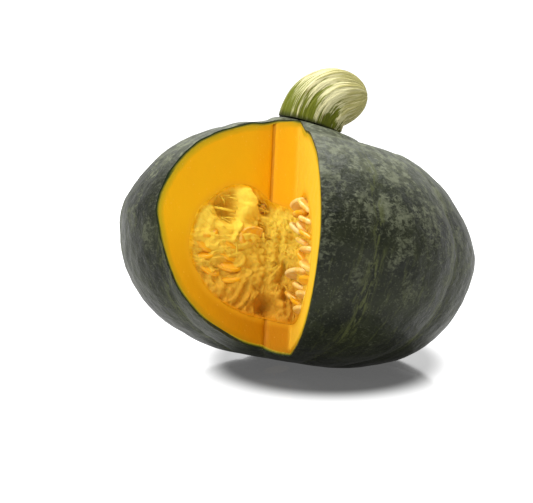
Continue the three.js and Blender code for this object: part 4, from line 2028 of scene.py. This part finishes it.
@dataclass
class Studio:
    """A pale floor and backdrop, soft light, and the camera."""

    camera_at: tuple = (-0.0318, -1.00778, 0.16523)
    pitch: float = math.radians(6.1)
    focal_pixels: float = 1894.7
    image_width: int = 533
    sensor: float = 36.0
    aim: tuple = (0.0, 0.0, 0.06)
    surround: float = 0.42
    floor_reach: float = 12.0
    floor_back: float = 1.4
    cove: float = 0.6
    floor_colour: tuple = (0.04, 0.04, 0.04)
    floor_roughness: float = 0.12
    floor_sheen: float = 0.9
    floor_glow: float = 0.95
    backdrop_glow: float = 0.15
    # size of the painted shadow under the fruit: no glow within, full glow beyond
    painted_shadow_within: float = 0.095
    painted_shadow_beyond: float = 0.135
    painted_shadow_narrowing: float = 1.8

    def floor(self) -> None:
        """A faintly glossy floor that glows pale everywhere but for a painted shadow, a dark
        patch under the fruit, and runs up into a backdrop on a quarter round."""
        turn = np.linspace(0, math.pi / 2, 24)
        back, radius = self.floor_back, self.cove
        line = np.concatenate([[[-self.floor_reach, 0.0]], np.stack(
            [back + radius * np.sin(turn), radius * (1 - np.cos(turn))], axis=1),
            [[back + radius, 3.0]]])
        side = np.array([-self.floor_reach, self.floor_reach])
        grid = np.stack([np.repeat(side[None], len(line), 0), np.repeat(line[:, :1], 2, 1),
                         np.repeat(line[:, 1:], 2, 1)], axis=-1)
        row = 2 * np.arange(len(line) - 1)
        faces = np.stack([row, row + 1, row + 3, row + 2], -1)
        sheet = MeshKit.make("floor", grid.reshape(-1, 3), faces)
        MeshKit.smooth(sheet, 80)
        MeshKit.mark(sheet, "far", ease(0.9, 1.6, grid.reshape(-1, 3)[:, 1]))
        g = Graph("pale_floor")
        away = g.node("ShaderNodeVectorMath", operation="LENGTH")
        g.feed(away.inputs[0], g.place((self.painted_shadow_narrowing, 1, 1)))
        # painted shadow: the floor's glow fades out under the fruit
        ring = g.span(away.outputs["Value"], self.painted_shadow_within, self.painted_shadow_beyond, 0.0,
                      self.floor_glow)
        glow = g.math("ADD", ring, g.math("MULTIPLY", g.attribute("far"), self.backdrop_glow))
        sheet.data.materials.append(g.dress(
            Base_Color=self.floor_colour, Roughness=self.floor_roughness,
            Specular_IOR_Level=self.floor_sheen, Emission_Color=(1.0, 1.0, 1.0),
            Emission_Strength=glow))

    def lamp(self, name: str, at: tuple, aim: tuple, size: float, power: float,
             colour: tuple = (1, 1, 1)) -> None:
        """One square soft light.

        Args:
            name: its name.
            at: where it hangs.
            aim: the point it faces.
            size: width of the square.
            power: in watts.
            colour: its tint.
        """
        light = bpy.data.lights.new(name, "AREA")
        light.shape = "SQUARE"
        light.size = size
        light.energy = power
        light.color = colour
        lamp = bpy.data.objects.new(name, light)
        lamp.location = at
        lamp.rotation_euler = (Vector(aim) - Vector(at)).to_track_quat("-Z", "Y").to_euler()
        bpy.context.scene.collection.objects.link(lamp)

    def light(self) -> None:
        """A big soft box overhead, a weaker one front left, and a white surround."""
        self.lamp("overhead_soft_box", (-0.1, 0.25, 1.1), self.aim, 0.9, 17.0)
        self.lamp("front_left_soft_box", (-0.9, -1.0, 0.9), self.aim, 0.8, 11.0)
        world = bpy.data.worlds.new("white_surround")
        world.use_nodes = True
        world.node_tree.nodes["Background"].inputs["Color"].default_value = (1, 1, 1, 1)
        world.node_tree.nodes["Background"].inputs["Strength"].default_value = self.surround
        bpy.context.scene.world = world
        bpy.context.scene.view_settings.view_transform = "Standard"

    def camera(self) -> None:
        """The camera of the photograph: about a metre away, looking along +Y, a little down."""
        lens = bpy.data.cameras.new("camera")
        lens.sensor_fit = "HORIZONTAL"
        lens.sensor_width = self.sensor
        lens.lens = self.focal_pixels / self.image_width * self.sensor
        camera = bpy.data.objects.new("camera", lens)
        camera.location = self.camera_at
        camera.rotation_euler = (math.pi / 2 - self.pitch, 0, 0)
        bpy.context.scene.collection.objects.link(camera)
        bpy.context.scene.camera = camera

    def build(self) -> None:
        """Sets the whole studio up."""
        self.camera()
        self.floor()
        self.light()


def main() -> None:
    """Builds the studio and the fruit, and logs each piece's vertex and face counts."""
    logging.basicConfig(level=logging.INFO, format="%(message)s")
    Studio().build()
    Rind().build(RindFinish())
    Flesh().build(FleshFinish())
    pulp = Pulp()
    pulp.build(PulpFinish())
    Seeds().build(SeedFinish())
    Strands().build(pulp, PulpFinish())
    Stem().build(StemFinish())


if __name__ == "__main__":
    main()
